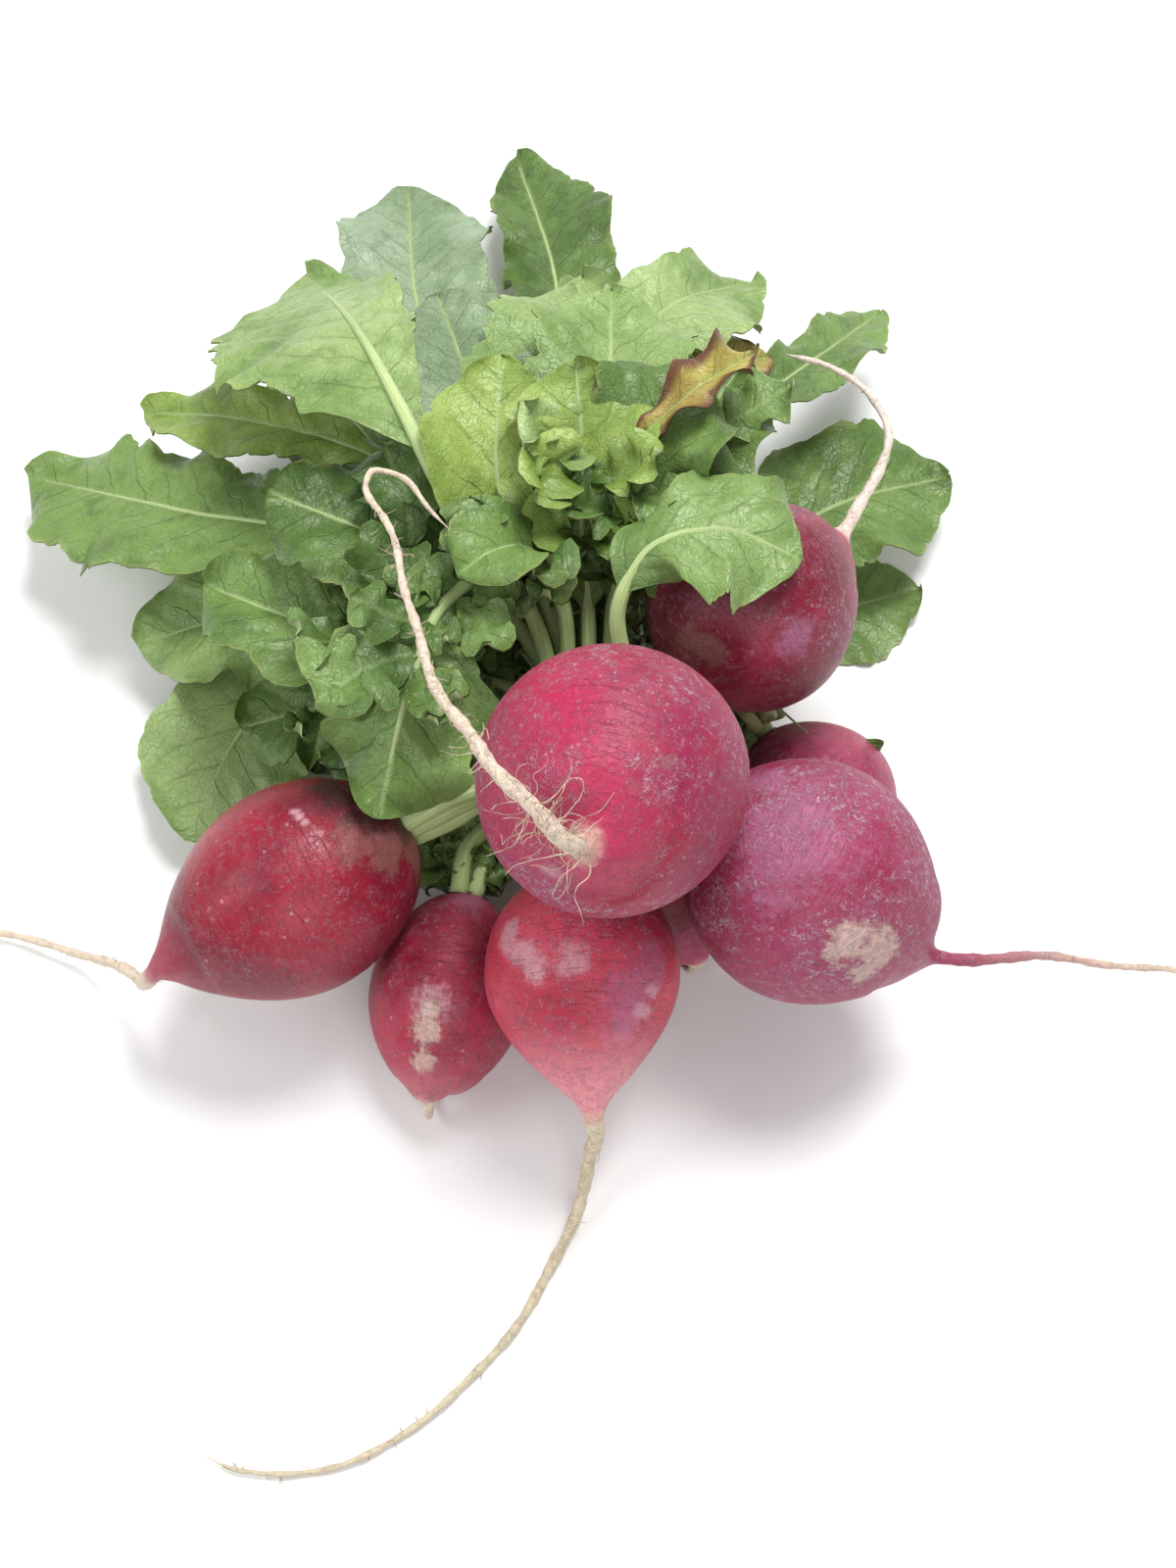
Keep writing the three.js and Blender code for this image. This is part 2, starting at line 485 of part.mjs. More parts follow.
// A leaf: a round stalk that spreads into a thin blade with a ridge for its midrib.
function leafGeometry(leaf, grow) {
  const path = leafPath(leaf);
  const bladeStart = path.length - leaf.blade;
  const rings = [];
  const frame = (distance, turn) => {
    const along = path.direction(distance);
    const side = along.clone().cross(UP).normalize();
    side.applyAxisAngle(along, THREE.MathUtils.degToRad(turn));
    return { centre: path.at(distance), along, side, up: side.clone().cross(along) };
  };
  const stalkStops = [];
  path.marks.forEach((mark, i) => {
    if (mark < bladeStart - 2) stalkStops.push(mark);
    const next = path.marks[i + 1];
    const middle = (mark + next) / 2;
    if (next && i > 0 && i !== 2 && middle < bladeStart - 2) stalkStops.push(middle);
  });
  for (const stop of stalkStops) {
    const { centre, side, up } = frame(stop, leaf.roll[0]);
    const radius = STALK_RADIUS - STALK_TAPER * (stop / bladeStart) + grow;
    const angles = [180, 90, 0, -60, -120].map(THREE.MathUtils.degToRad);
    rings.push(angles.map((angle) => centre.clone()
      .addScaledVector(side, radius * Math.cos(angle))
      .addScaledVector(up, radius * Math.sin(angle))));
  }
  const columns = [-1, -0.5, 0, 0.5, 1];
  for (let i = 0; i <= BLADE_STEPS; i++) {
    const share = BLADE_SPAN[0] + ((BLADE_SPAN[1] - BLADE_SPAN[0]) * i) / BLADE_STEPS;
    const turn = leaf.roll[0] + (leaf.roll[1] - leaf.roll[0]) * share;
    const { centre, along, side, up } = frame(bladeStart + leaf.blade * share, turn);
    const ridge = RIDGE * (1 - share) ** 1.5;
    const end = i === BLADE_STEPS ? grow : 0;
    const upper = [];
    const lower = [];
    for (const t of columns) {
      const sideIndex = t < 0 ? 0 : 1;
      const half = Math.max(reach(leaf, share, sideIndex), LEAST_HALF) + grow;
      const ripple = Math.sin(2 * Math.PI * (share * leaf.lobes + 0.3 * sideIndex));
      const lift = leaf.fold * Math.abs(t) * half + leaf.wave * t * t * ripple * smoothstep(0, 0.3, share);
      const middle = centre.clone().addScaledVector(side, t * half);
      middle.addScaledVector(along, LOBES_FORWARD * Math.abs(t) * half * (1 - share) + end);
      middle.addScaledVector(up, lift);
      const thick = BLADE / 2 + grow;
      const bulge = t === 0 ? ridge : 0;
      upper.push(middle.clone().addScaledVector(up, thick + (leaf.flip ? bulge : 0)));
      lower.push(middle.clone().addScaledVector(up, -thick - (leaf.flip ? 0 : bulge)));
    }
    rings.push([...upper, ...lower.reverse()]);
  }
  for (const ring of rings) {
    ring.forEach((p, k) => {
      const floor = k < ring.length / 2 ? BLADE : 0;
      p.z = Math.max(p.z, floor - grow);
    });
  }
  return skin(rings);
}

// The band: a flat loop with round corners, pulled over the grid of stalks.
function bandGeometry(grow) {
  const halfX = (NECK_PITCH_X * (NECK_COLUMNS - 1)) / 2 + STALK_RADIUS + GAP;
  const halfZ = (NECK_PITCH_Z * (NECK_ROWS - 1)) / 2 + STALK_RADIUS + GAP;
  const loop = (extra) => {
    const [x, z, c] = [halfX + extra, halfZ + extra, BAND.corner + extra];
    const outline = new THREE.Shape();
    outline.moveTo(x, -z + c);
    outline.lineTo(x, z - c);
    outline.absarc(x - c, z - c, c, 0, Math.PI / 2, false);
    outline.lineTo(-x + c, z);
    outline.absarc(-x + c, z - c, c, Math.PI / 2, Math.PI, false);
    outline.lineTo(-x, -z + c);
    outline.absarc(-x + c, -z + c, c, Math.PI, 1.5 * Math.PI, false);
    outline.lineTo(x - c, -z);
    outline.absarc(x - c, -z + c, c, 1.5 * Math.PI, 2 * Math.PI, false);
    return outline;
  };
  const shape = loop(BAND.thick + grow);
  shape.holes.push(loop(-grow));
  const options = { depth: BAND.wide + 2 * grow, bevelEnabled: false, curveSegments: 4 };
  const geometry = new THREE.ExtrudeGeometry(shape, options);
  geometry.rotateX(Math.PI / 2);
  geometry.deleteAttribute('normal');
  geometry.deleteAttribute('uv');
  const middleX = NECK_LEFT + (NECK_PITCH_X * (NECK_COLUMNS - 1)) / 2;
  const middleZ = NECK_BOTTOM + (NECK_PITCH_Z * (NECK_ROWS - 1)) / 2;
  geometry.translate(middleX, BAND.front + BAND.wide + grow, middleZ);
  return mergeVertices(geometry, 1e-4);
}

function solidOf(geometry) {
  const merged = mergeVertices(geometry, 1e-4);
  return new wasm.Manifold(new wasm.Mesh({
    numProp: 3,
    vertProperties: merged.getAttribute('position').array,
    triVerts: new Uint32Array(merged.getIndex().array),
  }));
}

function geometryOf(solid) {
  const mesh = solid.getMesh();
  const geometry = new THREE.BufferGeometry();
  geometry.setAttribute('position', new THREE.BufferAttribute(new Float32Array(mesh.vertProperties), 3));
  geometry.setIndex(new THREE.BufferAttribute(new Uint32Array(mesh.triVerts), 1));
  return geometry;
}

function boxOf(geometry) {
  geometry.computeBoundingBox();
  return geometry.boundingBox;
}

// A leaf gives way where it would touch a piece that was placed before it: what lies within the
// clear space is taken off, and loose scraps are dropped.
function clearOf(geometry, placed) {
  let solid = null;
  for (const other of placed) {
    if (!boxOf(geometry).intersectsBox(other.box)) continue;
    const own = solid ?? solidOf(geometry);
    if (own.intersect(other.solid).volume() < 1e-4) continue;
    const parts = own.subtract(other.solid).decompose();
    solid = parts.reduce((most, part) => (part.volume() > most.volume() ? part : most));
  }
  return solid ? geometryOf(solid) : geometry;
}

const bunch = new THREE.Group();
const placed = [];

function place(name, makeGeometry, colour, roughness, givesWay) {
  const own = makeGeometry(0);
  const geometry = givesWay ? clearOf(own, placed) : own;
  const material = new THREE.MeshStandardMaterial({ color: colour, roughness, metalness: 0 });
  const mesh = new THREE.Mesh(geometry, material);
  mesh.name = name;
  bunch.add(mesh);
  const room = makeGeometry(GAP);
  placed.push({ solid: solidOf(room), box: boxOf(room).clone() });
}

for (const root of ROOTS) place(root.name, (grow) => rootGeometry(root, grow), root.colour, 0.5, false);
place('tie_band', bandGeometry, '#c9a76a', 0.7, false);
for (const leaf of LEAVES) place(leaf.name, (grow) => leafGeometry(leaf, grow), leaf.colour, 0.6, true);

// The origin is at the middle of the bunch's foot on the table.
const extent = new THREE.Box3().setFromObject(bunch);
const middle = extent.getCenter(new THREE.Vector3());
bunch.position.set(-middle.x, -middle.y, -extent.min.z);
bunch.updateMatrixWorld(true);

export default bunch;
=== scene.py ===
import math

import bpy
import numpy as np
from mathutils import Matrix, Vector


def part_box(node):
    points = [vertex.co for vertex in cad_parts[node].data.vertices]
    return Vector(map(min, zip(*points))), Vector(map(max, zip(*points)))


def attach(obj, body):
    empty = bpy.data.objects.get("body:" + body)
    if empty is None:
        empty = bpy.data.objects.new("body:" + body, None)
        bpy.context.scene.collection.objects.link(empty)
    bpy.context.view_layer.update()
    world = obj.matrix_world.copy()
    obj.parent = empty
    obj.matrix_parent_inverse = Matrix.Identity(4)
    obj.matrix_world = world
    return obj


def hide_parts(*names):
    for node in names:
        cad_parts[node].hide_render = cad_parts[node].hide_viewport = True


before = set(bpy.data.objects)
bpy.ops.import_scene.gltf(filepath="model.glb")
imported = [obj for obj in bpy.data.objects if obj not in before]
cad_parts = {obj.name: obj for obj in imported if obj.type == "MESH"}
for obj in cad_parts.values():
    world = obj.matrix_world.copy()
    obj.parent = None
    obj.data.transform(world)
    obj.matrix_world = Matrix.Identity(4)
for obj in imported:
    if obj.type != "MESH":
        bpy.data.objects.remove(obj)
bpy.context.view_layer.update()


# The table top and the light. The bunch lies on a plain pale table, between large soft lamps, and
# the camera stands over the table's front edge and looks down at the roots.
class Wire:
    """A socket of a material. Python arithmetic on it adds Math nodes."""

    def __init__(self, tree, socket=None):
        self.tree = tree
        self.socket = socket

    def add(self, kind, settings=None, inputs=None, out=0):
        node = self.tree.nodes.new(kind)
        for name, value in (settings or {}).items():
            setattr(node, name, value)
        for key, value in (inputs or {}).items():
            if isinstance(value, Wire):
                self.tree.links.new(value.socket, node.inputs[key])
            else:
                node.inputs[key].default_value = value
        return Wire(self.tree, node.outputs[out])

    def math(self, operation, *values):
        return self.add("ShaderNodeMath", {"operation": operation}, dict(enumerate(values)))

    def __add__(self, other):
        return self.math("ADD", self, other)

    def __sub__(self, other):
        return self.math("SUBTRACT", self, other)

    def __rsub__(self, other):
        return self.math("SUBTRACT", other, self)

    def __mul__(self, other):
        return self.math("MULTIPLY", self, other)

    __radd__ = __add__
    __rmul__ = __mul__

    def size(self):
        """The value without its sign."""
        return self.math("ABSOLUTE", self)

    def rise(self, low, high):
        """0 below low, 1 above high, smooth between them. Low may be above high."""
        return self.add(
            "ShaderNodeMapRange",
            {"interpolation_type": "SMOOTHSTEP"},
            {"Value": self, "From Min": low, "From Max": high},
        )

    def tint(self, under, over):
        """One colour laid over another by this mask."""
        pads = [(*c, 1) if isinstance(c, tuple) else c for c in (under, over)]
        return self.add("ShaderNodeMix", {"data_type": "RGBA"}, {0: self, 6: pads[0], 7: pads[1]}, out=2)

    def grain(self, at, scale, detail=3.0, rough=0.55, bend=0.0):
        """Cloudy noise, about 0.5 on average."""
        values = {"Vector": at, "Scale": scale, "Detail": detail, "Roughness": rough, "Distortion": bend}
        return self.add("ShaderNodeTexNoise", None, values)

    def cells(self, at, scale, feature="F1", flat=False):
        """Distance in a pattern of cells."""
        settings = {"feature": feature, "voronoi_dimensions": "2D" if flat else "3D"}
        return self.add("ShaderNodeTexVoronoi", settings, {"Vector": at, "Scale": scale, "Randomness": 1.0})

    def place(self):
        """The place on the bunch, in metres."""
        return self.add("ShaderNodeTexCoord", out=3)

    def field(self, name, out=2):
        """What a mesh keeps at its points under this name. Output 2 is a number and 1 a vector."""
        return self.add("ShaderNodeAttribute", {"attribute_name": name}, out=out)

    def stretched(self, by):
        """A vector, multiplied by another."""
        return self.add("ShaderNodeVectorMath", {"operation": "MULTIPLY"}, {0: self, 1: by})


def material(name):
    """A new material: its wire to build on, its shader node and itself."""
    made = bpy.data.materials.new(name)
    made.use_nodes = True
    shader = made.node_tree.nodes["Principled BSDF"]
    return Wire(made.node_tree), shader, made


def feed(shader, **sockets):
    """Joins wires and sets plain values on the shader's sockets."""
    for name, value in sockets.items():
        socket = shader.inputs[name.replace("_", " ")]
        if isinstance(value, Wire):
            value.tree.links.new(value.socket, socket)
        else:
            socket.default_value = value


def relief(wire, height, depth, strength=1.0):
    """Surface relief, depth in metres for a height of 1."""
    return wire.add("ShaderNodeBump", None, {"Strength": strength, "Distance": depth, "Height": height})


def put(name, data):
    """A new object in the scene, at the origin."""
    made = bpy.data.objects.new(name, data)
    bpy.context.scene.collection.objects.link(made)
    return made


TABLE_HALF, TABLE_HEIGHT = 2.5, -1e-4
wire, shader, table_top = material("pale_table_top")
cloud = wire.grain(wire.place(), 3.0)
feed(
    shader,
    Base_Color=cloud.tint((0.86, 0.86, 0.855), (0.9, 0.9, 0.895)),
    Roughness=0.9,
    Specular_IOR_Level=0.2,
)
corners = [(x * TABLE_HALF, y * TABLE_HALF, TABLE_HEIGHT) for x, y in ((-1, -1), (1, -1), (1, 1), (-1, 1))]
table = bpy.data.meshes.new("table_top")
table.from_pydata(corners, [], [(0, 1, 2, 3)])
table.materials.append(table_top)
put("table_top", table)

world = bpy.data.worlds.new("room_light")
world.use_nodes = True
world.node_tree.nodes["Background"].inputs["Color"].default_value = (0.97, 0.985, 1, 1)
world.node_tree.nodes["Background"].inputs["Strength"].default_value = 0.33
bpy.context.scene.world = world
bpy.context.scene.view_settings.view_transform = "Standard"

LAMPS = [
    ("lamp_over", (0.12, 0.2, 0.62), 0.3, 4.4),
    ("lamp_left", (-0.62, -0.1, 0.5), 0.5, 2.2),
    ("lamp_back", (0.1, 0.7, 0.5), 0.6, 1.65),
    ("lamp_front", (0.05, -0.6, 0.5), 0.6, 2.35),
]
for name, spot, size, power in LAMPS:
    lamp = bpy.data.lights.new(name, "AREA")
    lamp.shape = "DISK"
    lamp.size = size
    lamp.energy = power
    holder = put(name, lamp)
    holder.location = spot
    aim = -np.array(spot)
    lean = math.acos(-aim[2] / np.linalg.norm(aim))
    holder.rotation_euler = (lean, 0, math.atan2(aim[1], aim[0]) - math.pi / 2)


# The rubber band, pulled over the grid of stalks. The roots and leaves are laid out in millimetres
# from a point on the table near the neck. SHIFT takes that layout to where the solids are.
NECK_LEFT, NECK_PITCH_X, NECK_PITCH_Z, NECK_BOTTOM, NECK_TOP_ROW = -6.6, 3.4, 3.5, 15.0, 6
NECK_FRONT_Y, NECK_BACK_Y = 10.0, 19.0
BAND_MIDDLE = (NECK_LEFT + 1.5 * NECK_PITCH_X, 14.0)
low, high = (np.array(corner) * 1000 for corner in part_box("tie_band"))
SHIFT = np.array([(low[0] + high[0]) / 2 - BAND_MIDDLE[0], (low[1] + high[1]) / 2 - BAND_MIDDLE[1], 0])

wire, shader, rubber = material("tan_rubber")
place = wire.place()
specks = wire.grain(place, 900, 4)
bloom = wire.grain(place, 90, 3)
feed(
    shader,
    Base_Color=bloom.tint((0.5, 0.32, 0.13), (0.62, 0.44, 0.22)),
    Roughness=0.5 + 0.2 * specks,
    Normal=relief(wire, specks, 0.0001, 0.5),
)
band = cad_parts["tie_band"]
band.data.materials.clear()
band.data.materials.append(rubber)


def to_metres(points):
    """Points of the layout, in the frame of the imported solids."""
    return (np.array(points) + SHIFT) / 1000


TILT, CAMERA_AWAY, AIM = math.radians(62), 400, np.array([0, 0, 30])
camera = bpy.data.cameras.new("camera")
camera.sensor_width = 36
camera.lens = 57.32
eye = put("camera", camera)
eye.location = to_metres(AIM + CAMERA_AWAY * np.array([0, -math.cos(TILT), math.sin(TILT)]))
eye.rotation_euler = (math.pi / 2 - TILT, 0, 0)
bpy.context.scene.camera = eye


# The roots: eight radishes. Each is a thin-skinned bulb, swollen between a flat crown and a tip
# that draws out into a long tap root. The skin is magenta red, scuffed silvery by the soil.
def unit(vector):
    return vector / np.linalg.norm(vector, axis=-1, keepdims=True)


class Route:
    """A smooth line through points, held as close samples."""

    REACH = 0.6

    def __init__(self, points, per_span=40):
        p = np.array(points, float)
        gap = np.linalg.norm(np.diff(p, axis=0), axis=1)[:, None]
        chord = np.diff(p, axis=0) / gap
        slope = np.empty_like(p)
        slope[0], slope[-1] = chord[0], chord[-1]
        slope[1:-1] = (chord[:-1] * gap[1:] + chord[1:] * gap[:-1]) / (gap[:-1] + gap[1:])
        t = np.arange(per_span)[None, :, None] / per_span
        a, b, m, n, s = p[:-1, None], p[1:, None], slope[:-1, None], slope[1:, None], gap[:, None]
        line = a * (2 * t**3 - 3 * t**2 + 1) + m * s * (t**3 - 2 * t**2 + t)
        line = line + b * (3 * t**2 - 2 * t**3) + n * s * (t**3 - t**2)
        self.line = np.vstack([line.reshape(-1, 3), p[-1:]])
        self.along = np.r_[0, np.cumsum(np.linalg.norm(np.diff(self.line, axis=0), axis=1))]
        self.length = self.along[-1]
        self.marks = self.along[::per_span]

    def at(self, distance):
        return np.stack([np.interp(distance, self.along, self.line[:, k]) for k in range(3)], -1)

    def direction(self, distance):
        return unit(self.at(np.add(distance, self.REACH)) - self.at(np.subtract(distance, self.REACH)))


def smoothstep(low, high, value):
    t = np.clip((value - low) / (high - low), 0, 1)
    return t * t * (3 - 2 * t)


def closed_skins(name, shells, finishes):
    """A mesh of closed shells. A shell is its rings of points in mm of the layout, the values kept at
    each point, the number of its finish, and the columns along which its surface has an edge."""
    points, faces, shades, kept, creased, first = [], [], [], {}, [], 0
    for rings, fields, finish, crisp in shells:
        rows, columns = rings.shape[:2]
        own = np.vstack([rings.reshape(-1, 3), rings[0].mean(0), rings[-1].mean(0)])
        k = np.arange(columns)
        after = (k + 1) % columns
        r = np.arange(rows - 1)[:, None] * columns
        quads = np.stack([r + k, r + after, r + columns + after, r + columns + k], -1).reshape(-1, 4)
        start, end, last = rows * columns, rows * columns + 1, (rows - 1) * columns
        caps = np.vstack([
            np.stack([np.full(columns, start), after, k], -1),
            np.stack([np.full(columns, end), last + k, last + after], -1),
        ])
        a, b, c, d = (own[quads[:, i]] for i in range(4))
        if np.sum(a * np.cross(b, c)) + np.sum(a * np.cross(c, d)) < 0:
            quads, caps = quads[:, ::-1], caps[:, ::-1]
        points.append(own)
        faces += (quads + first).tolist() + (caps + first).tolist()
        shades += [finish] * (len(quads) + len(caps))
        for field, values in fields.items():
            flat = values.reshape(rows * columns, -1)
            ends = [values[0].reshape(columns, -1).mean(0), values[-1].reshape(columns, -1).mean(0)]
            kept.setdefault(field, []).append((first, np.vstack([flat, *ends])))
        for column in crisp:
            creased.append(first + column + np.arange(rows) * columns)
        first += len(own)
    mesh = bpy.data.meshes.new(name)
    mesh.from_pydata(to_metres(np.vstack(points)).tolist(), [], faces)
    mesh.polygons.foreach_set("use_smooth", [True] * len(faces))
    for finish in finishes:
        mesh.materials.append(finish)
    mesh.polygons.foreach_set("material_index", shades)
    for field, parts in kept.items():
        wide = parts[0][1].shape[1] == 3
        full = np.zeros((first, 3 if wide else 1), np.float32)
        for begin, values in parts:
            full[begin:begin + len(values)] = values
        store = mesh.attributes.new(field, "FLOAT_VECTOR" if wide else "FLOAT", "POINT")
        store.data.foreach_set("vector" if wide else "value", full.ravel())
    if creased:
        seam = np.full(first, -1)
        for number, line in enumerate(creased):
            seam[line] = number
        pairs = np.empty(len(mesh.edges) * 2, int)
        mesh.edges.foreach_get("vertices", pairs)
        seams = seam[pairs.reshape(-1, 2)]
        sharp = (seams[:, 0] == seams[:, 1]) & (seams[:, 0] >= 0)
        mesh.attributes.new("sharp_edge", "BOOLEAN", "EDGE").data.foreach_set("value", sharp)
    return mesh


def stand_in(node, mesh):
    """Puts a finished mesh in place of the CAD node of that name."""
    piece = put(node + "_skin", mesh)
    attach(piece, "root")
    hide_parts(node)


RED, MAGENTA, DEEP = (0.33, 0.012, 0.035), (0.26, 0.014, 0.062), (0.14, 0.005, 0.017)
PINK, ROSE, SILVER = (0.5, 0.09, 0.17), (0.46, 0.012, 0.07), (0.43, 0.18, 0.31)
WHITE, RUBBED, CREAM = (0.6, 0.45, 0.38), (0.62, 0.36, 0.41), (0.68, 0.56, 0.44)
CORK, SOIL = (0.24, 0.12, 0.1), (0.035, 0.018, 0.018)
PATCH_STRENGTH = {ROSE: 0.7, PINK: 0.5, SILVER: 0.55, CORK: 0.6, SOIL: 0.8, WHITE: 0.9, RUBBED: 0.8}
ROOTS = [
    dict(
        name="root_top", crown=(7, 0.2, 47.6), tip=(-0.6, -33.2, 74.4), radius=20.2, belly=0.47, taper=0.55,
        tail=(1.9, 0.5),
        route=[(-3.4, -34.2, 78), (-8, -30, 81.5), (-13.5, -24.5, 82), (-19, -15, 80), (-24, -3, 77.5),
               (-27, 11, 74), (-31, 24, 71), (-33.8, 32, 68.5), (-33.4, 35, 66.8), (-29, 34.4, 65.5),
               (-24, 29, 65.5), (-21, 25, 66)],
        skin=(MAGENTA, RED), scuff=0.9, gloss=0.46, blush=0.99, tip_tone=(0.42, 0.03, 0.09),
        patches={
            CORK: [(11, -22.3, 78, 1.1), (6.2, -26.4, 78.4, 0.9)],
            PINK: [(-2.6, -34.6, 70.7, 2.6)],
            ROSE: [(-9.2, -15.5, 76, 10), (-5.4, -10.3, 77.5, 7), (3, -30, 76, 7), (-12, -24, 68, 8)],
            RUBBED: [(-4.6, -33.5, 68, 1.6)],
        },
    ),
    dict(
        name="root_right", crown=(17.4, -12, 42.4), tip=(53, -28, 26), radius=18.8, belly=0.47, taper=0.58,
        tail=(1.5, 0.6), paling=(0.985, 1.9),
        route=[(60, -28, 24.4), (70, -27.2, 23), (82, -27, 20.5), (92, -27.6, 18.5), (100, -28, 17)],
        skin=((0.3, 0.026, 0.085), (0.25, 0.015, 0.052)), scuff=0.95, gloss=0.42, blush=1.5, tip_tone=PINK,
        patches={
            WHITE: [(39, -34.9, 44.2, 3.4), (43.5, -34.6, 41.3, 4.2), (41.6, -36.5, 38.7, 2.6)],
            SILVER: [(29.4, -21, 53, 8), (27.6, -10, 49.5, 3.4)],
        },
    ),
    dict(
        name="root_front", crown=(-2, -17, 33.6), tip=(0.7, -52.6, 22.6), radius=15.2, belly=0.44,
        taper=0.82, tail=(1.9, 0.45), tail_tone=(0.62, 0.54, 0.38),
        route=[(1.1, -54.5, 12), (-0.2, -57.5, 6), (-2.4, -63, 2.2), (-6.8, -73, 1), (-16.2, -86, 0.9),
               (-26, -95.3, 0.9), (-37, -101, 0.8), (-47, -103, 0.7), (-54, -101.5, 0.7),
               (-58, -99.6, 0.7)],
        skin=((0.6, 0.055, 0.1), (0.4, 0.016, 0.045)), scuff=0.35, gloss=0.38, blush=0.78,
        tip_tone=(0.76, 0.33, 0.36),
        patches={
            RUBBED: [(-12.3, -30.9, 38.9, 2.3), (-8.1, -36.9, 41.4, 2.2), (-2.6, -36.6, 43.3, 2.5),
                (-10.5, -34.1, 40.6, 1.8), (8, -42, 36.4, 1.4), (9.4, -39, 37.6, 1.3)],
            SILVER: [(6.7, -40.9, 39, 3.8), (5.3, -43.9, 36.9, 3), (8.4, -38.3, 39.4, 3.2),
                (9.6, -35, 38.6, 2.6)],
        },
    ),
    dict(
        name="root_front_left", crown=(-19.6, -12.2, 14.6), tip=(-25.6, -45.2, 8.8), radius=12.6, belly=0.5,
        taper=0.52, tail=(1.5, 0.6),
        route=[(-25.8, -46.6, 6), (-26, -46.4, 3), (-25.6, -44, 1.2), (-25.4, -41.8, 0.9)],
        skin=((0.4, 0.024, 0.06), (0.2, 0.008, 0.024)), scuff=0.35, gloss=0.4, blush=0.97,
        tip_tone=(0.5, 0.2, 0.22),
        patches={
            RUBBED: [(-24.4, -35.1, 22.6, 3)],
            WHITE: [(-25.2, -38.4, 20.7, 2.4), (-25.6, -42.4, 16.6, 2.2), (-24.6, -36, 22, 1.7)],
            CORK: [(-23.5, -34.6, 22.9, 0.8)],
            SILVER: [(-19.3, -16, 20.2, 3)],
        },
    ),
    dict(
        name="root_left", crown=(-28.2, -8, 31.4), tip=(-67, -29.5, 24), radius=16.6, belly=0.46, taper=0.68,
        tail=(1.9, 0.7), paling=(1.015, 1.1),
        route=[(-70.4, -28.6, 17), (-75.6, -23.4, 9.4), (-84, -18, 3.6), (-92, -15, 2.2),
               (-102, -13, 1.8)],
        skin=((0.29, 0.009, 0.026), DEEP), scuff=0.14, gloss=0.3, blush=1.0, tip_tone=(0.46, 0.07, 0.11),
        patches={
            CORK: [(-35, -14.7, 42, 3.4), (-31, -14.5, 39, 3.2), (-27.5, -14.5, 33.5, 3),
                (-37, -18, 42.4, 2.6), (-32, -18, 38, 2.4)],
            SOIL: [(-38.1, -8.9, 41.4, 3), (-40.4, -6.2, 40, 2.6), (-36.2, -12.3, 42.1, 2),
                (-33, -11, 40, 2.4), (-30, -11.5, 36, 2.4)],
            RUBBED: [(-44.9, -12.2, 43.8, 0.8), (-44.1, -13.1, 44, 0.7), (-43.2, -14.2, 44.2, 0.7),
                (-58.1, -26.7, 39.3, 0.8), (-57.4, -28, 39, 0.8), (-56.4, -29.4, 38.6, 0.7)],
        },
    ),
    dict(
        name="root_upright", crown=(13.4, 16.4, 39), tip=(41, 39.6, 41.2), radius=17.2, belly=0.46,
        taper=0.55, tail=(1.6, 0.55), tail_tone=(0.74, 0.63, 0.54),
        route=[(44, 44, 42.4), (48, 51, 44), (49.4, 59, 46), (47, 65, 47), (41, 70, 46), (34, 76, 43)],
        skin=((0.3, 0.018, 0.05), DEEP), scuff=0.4, gloss=0.36, blush=0.99, tip_tone=(0.4, 0.04, 0.09),
        patches={
            CORK: [(16.1, 16, 47.8, 2.6), (19.2, 14, 48.1, 2.2)],
            SILVER: [(32.6, 14.8, 50.1, 2.6)],
        },
    ),
    dict(
        name="root_behind", crown=(29, 16.2, 15.8), tip=(48, -4.8, 9.2), radius=13.6, belly=0.5, taper=0.6,
        tail=(1.6, 0.6),
        route=[(50.4, -7, 6.6), (50, -11, 3), (46, -15, 1.4), (40, -17, 1.2)],
        skin=((0.42, 0.07, 0.13), MAGENTA), scuff=0.4, gloss=0.4, blush=0.98, tip_tone=PINK,
        patches={
            PINK: [(36, 12, 24, 3)],
        },
    ),
    dict(
        name="root_under", crown=(7.4, -1.4, 12.7), tip=(17.6, -21.4, 9.2), radius=11.8, belly=0.5,
        taper=0.6, tail=(1.2, 0.6),
        route=[(17.6, -21.9, 6.6), (17, -20.9, 3.8), (16, -18.6, 1.8), (15.4, -17, 1.2)],
        skin=((0.34, 0.025, 0.055), DEEP), scuff=0.4, gloss=0.4, blush=0.98, tip_tone=PINK, patches={},
    ),
]
SKIN_SIDES, SKIN_ROWS, TAIL_STEP, CM, ROOT_SEED = 72, 84, 0.8, 10, 11
FIRST_RING, LAST_RING, CROWN_ROUND, CROWN_RADIUS = 0.012, 0.98, 0.5, 3.4
BEND_FROM = 0.85  # the share of the bulb's axis from which it bends into the tap root
TAIL_THINNING, TAIL_END, TAIL_SWAY, JOIN_EASE = 0.35, 0.93, 0.35, 1.6


def root_named(name):
    return next(root for root in ROOTS if root["name"] == name)


def bulb_ends(root):
    """The crown and the tip of the root's bulb."""
    return np.array(root["crown"], float), np.array(root["tip"], float)


def belly_power(root):
    """Moves the widest part of a half sine to the root's belly."""
    return math.log(0.5) / math.log(root["belly"])


def tube_rings(line, ways, sizes, angle, across, least_height):
    """Rings square to a line, turned as little as possible from one to the next."""
    rings = []
    for centre, way, size in zip(line, ways, sizes):
        across = unit(across - way * np.dot(across, way))
        out = np.cos(angle)[:, None] * across + np.sin(angle)[:, None] * np.cross(way, across)
        rings.append(centre + out * size[:, None])
    rings = np.array(rings)
    rings[..., 2] = np.maximum(rings[..., 2], least_height)
    return rings


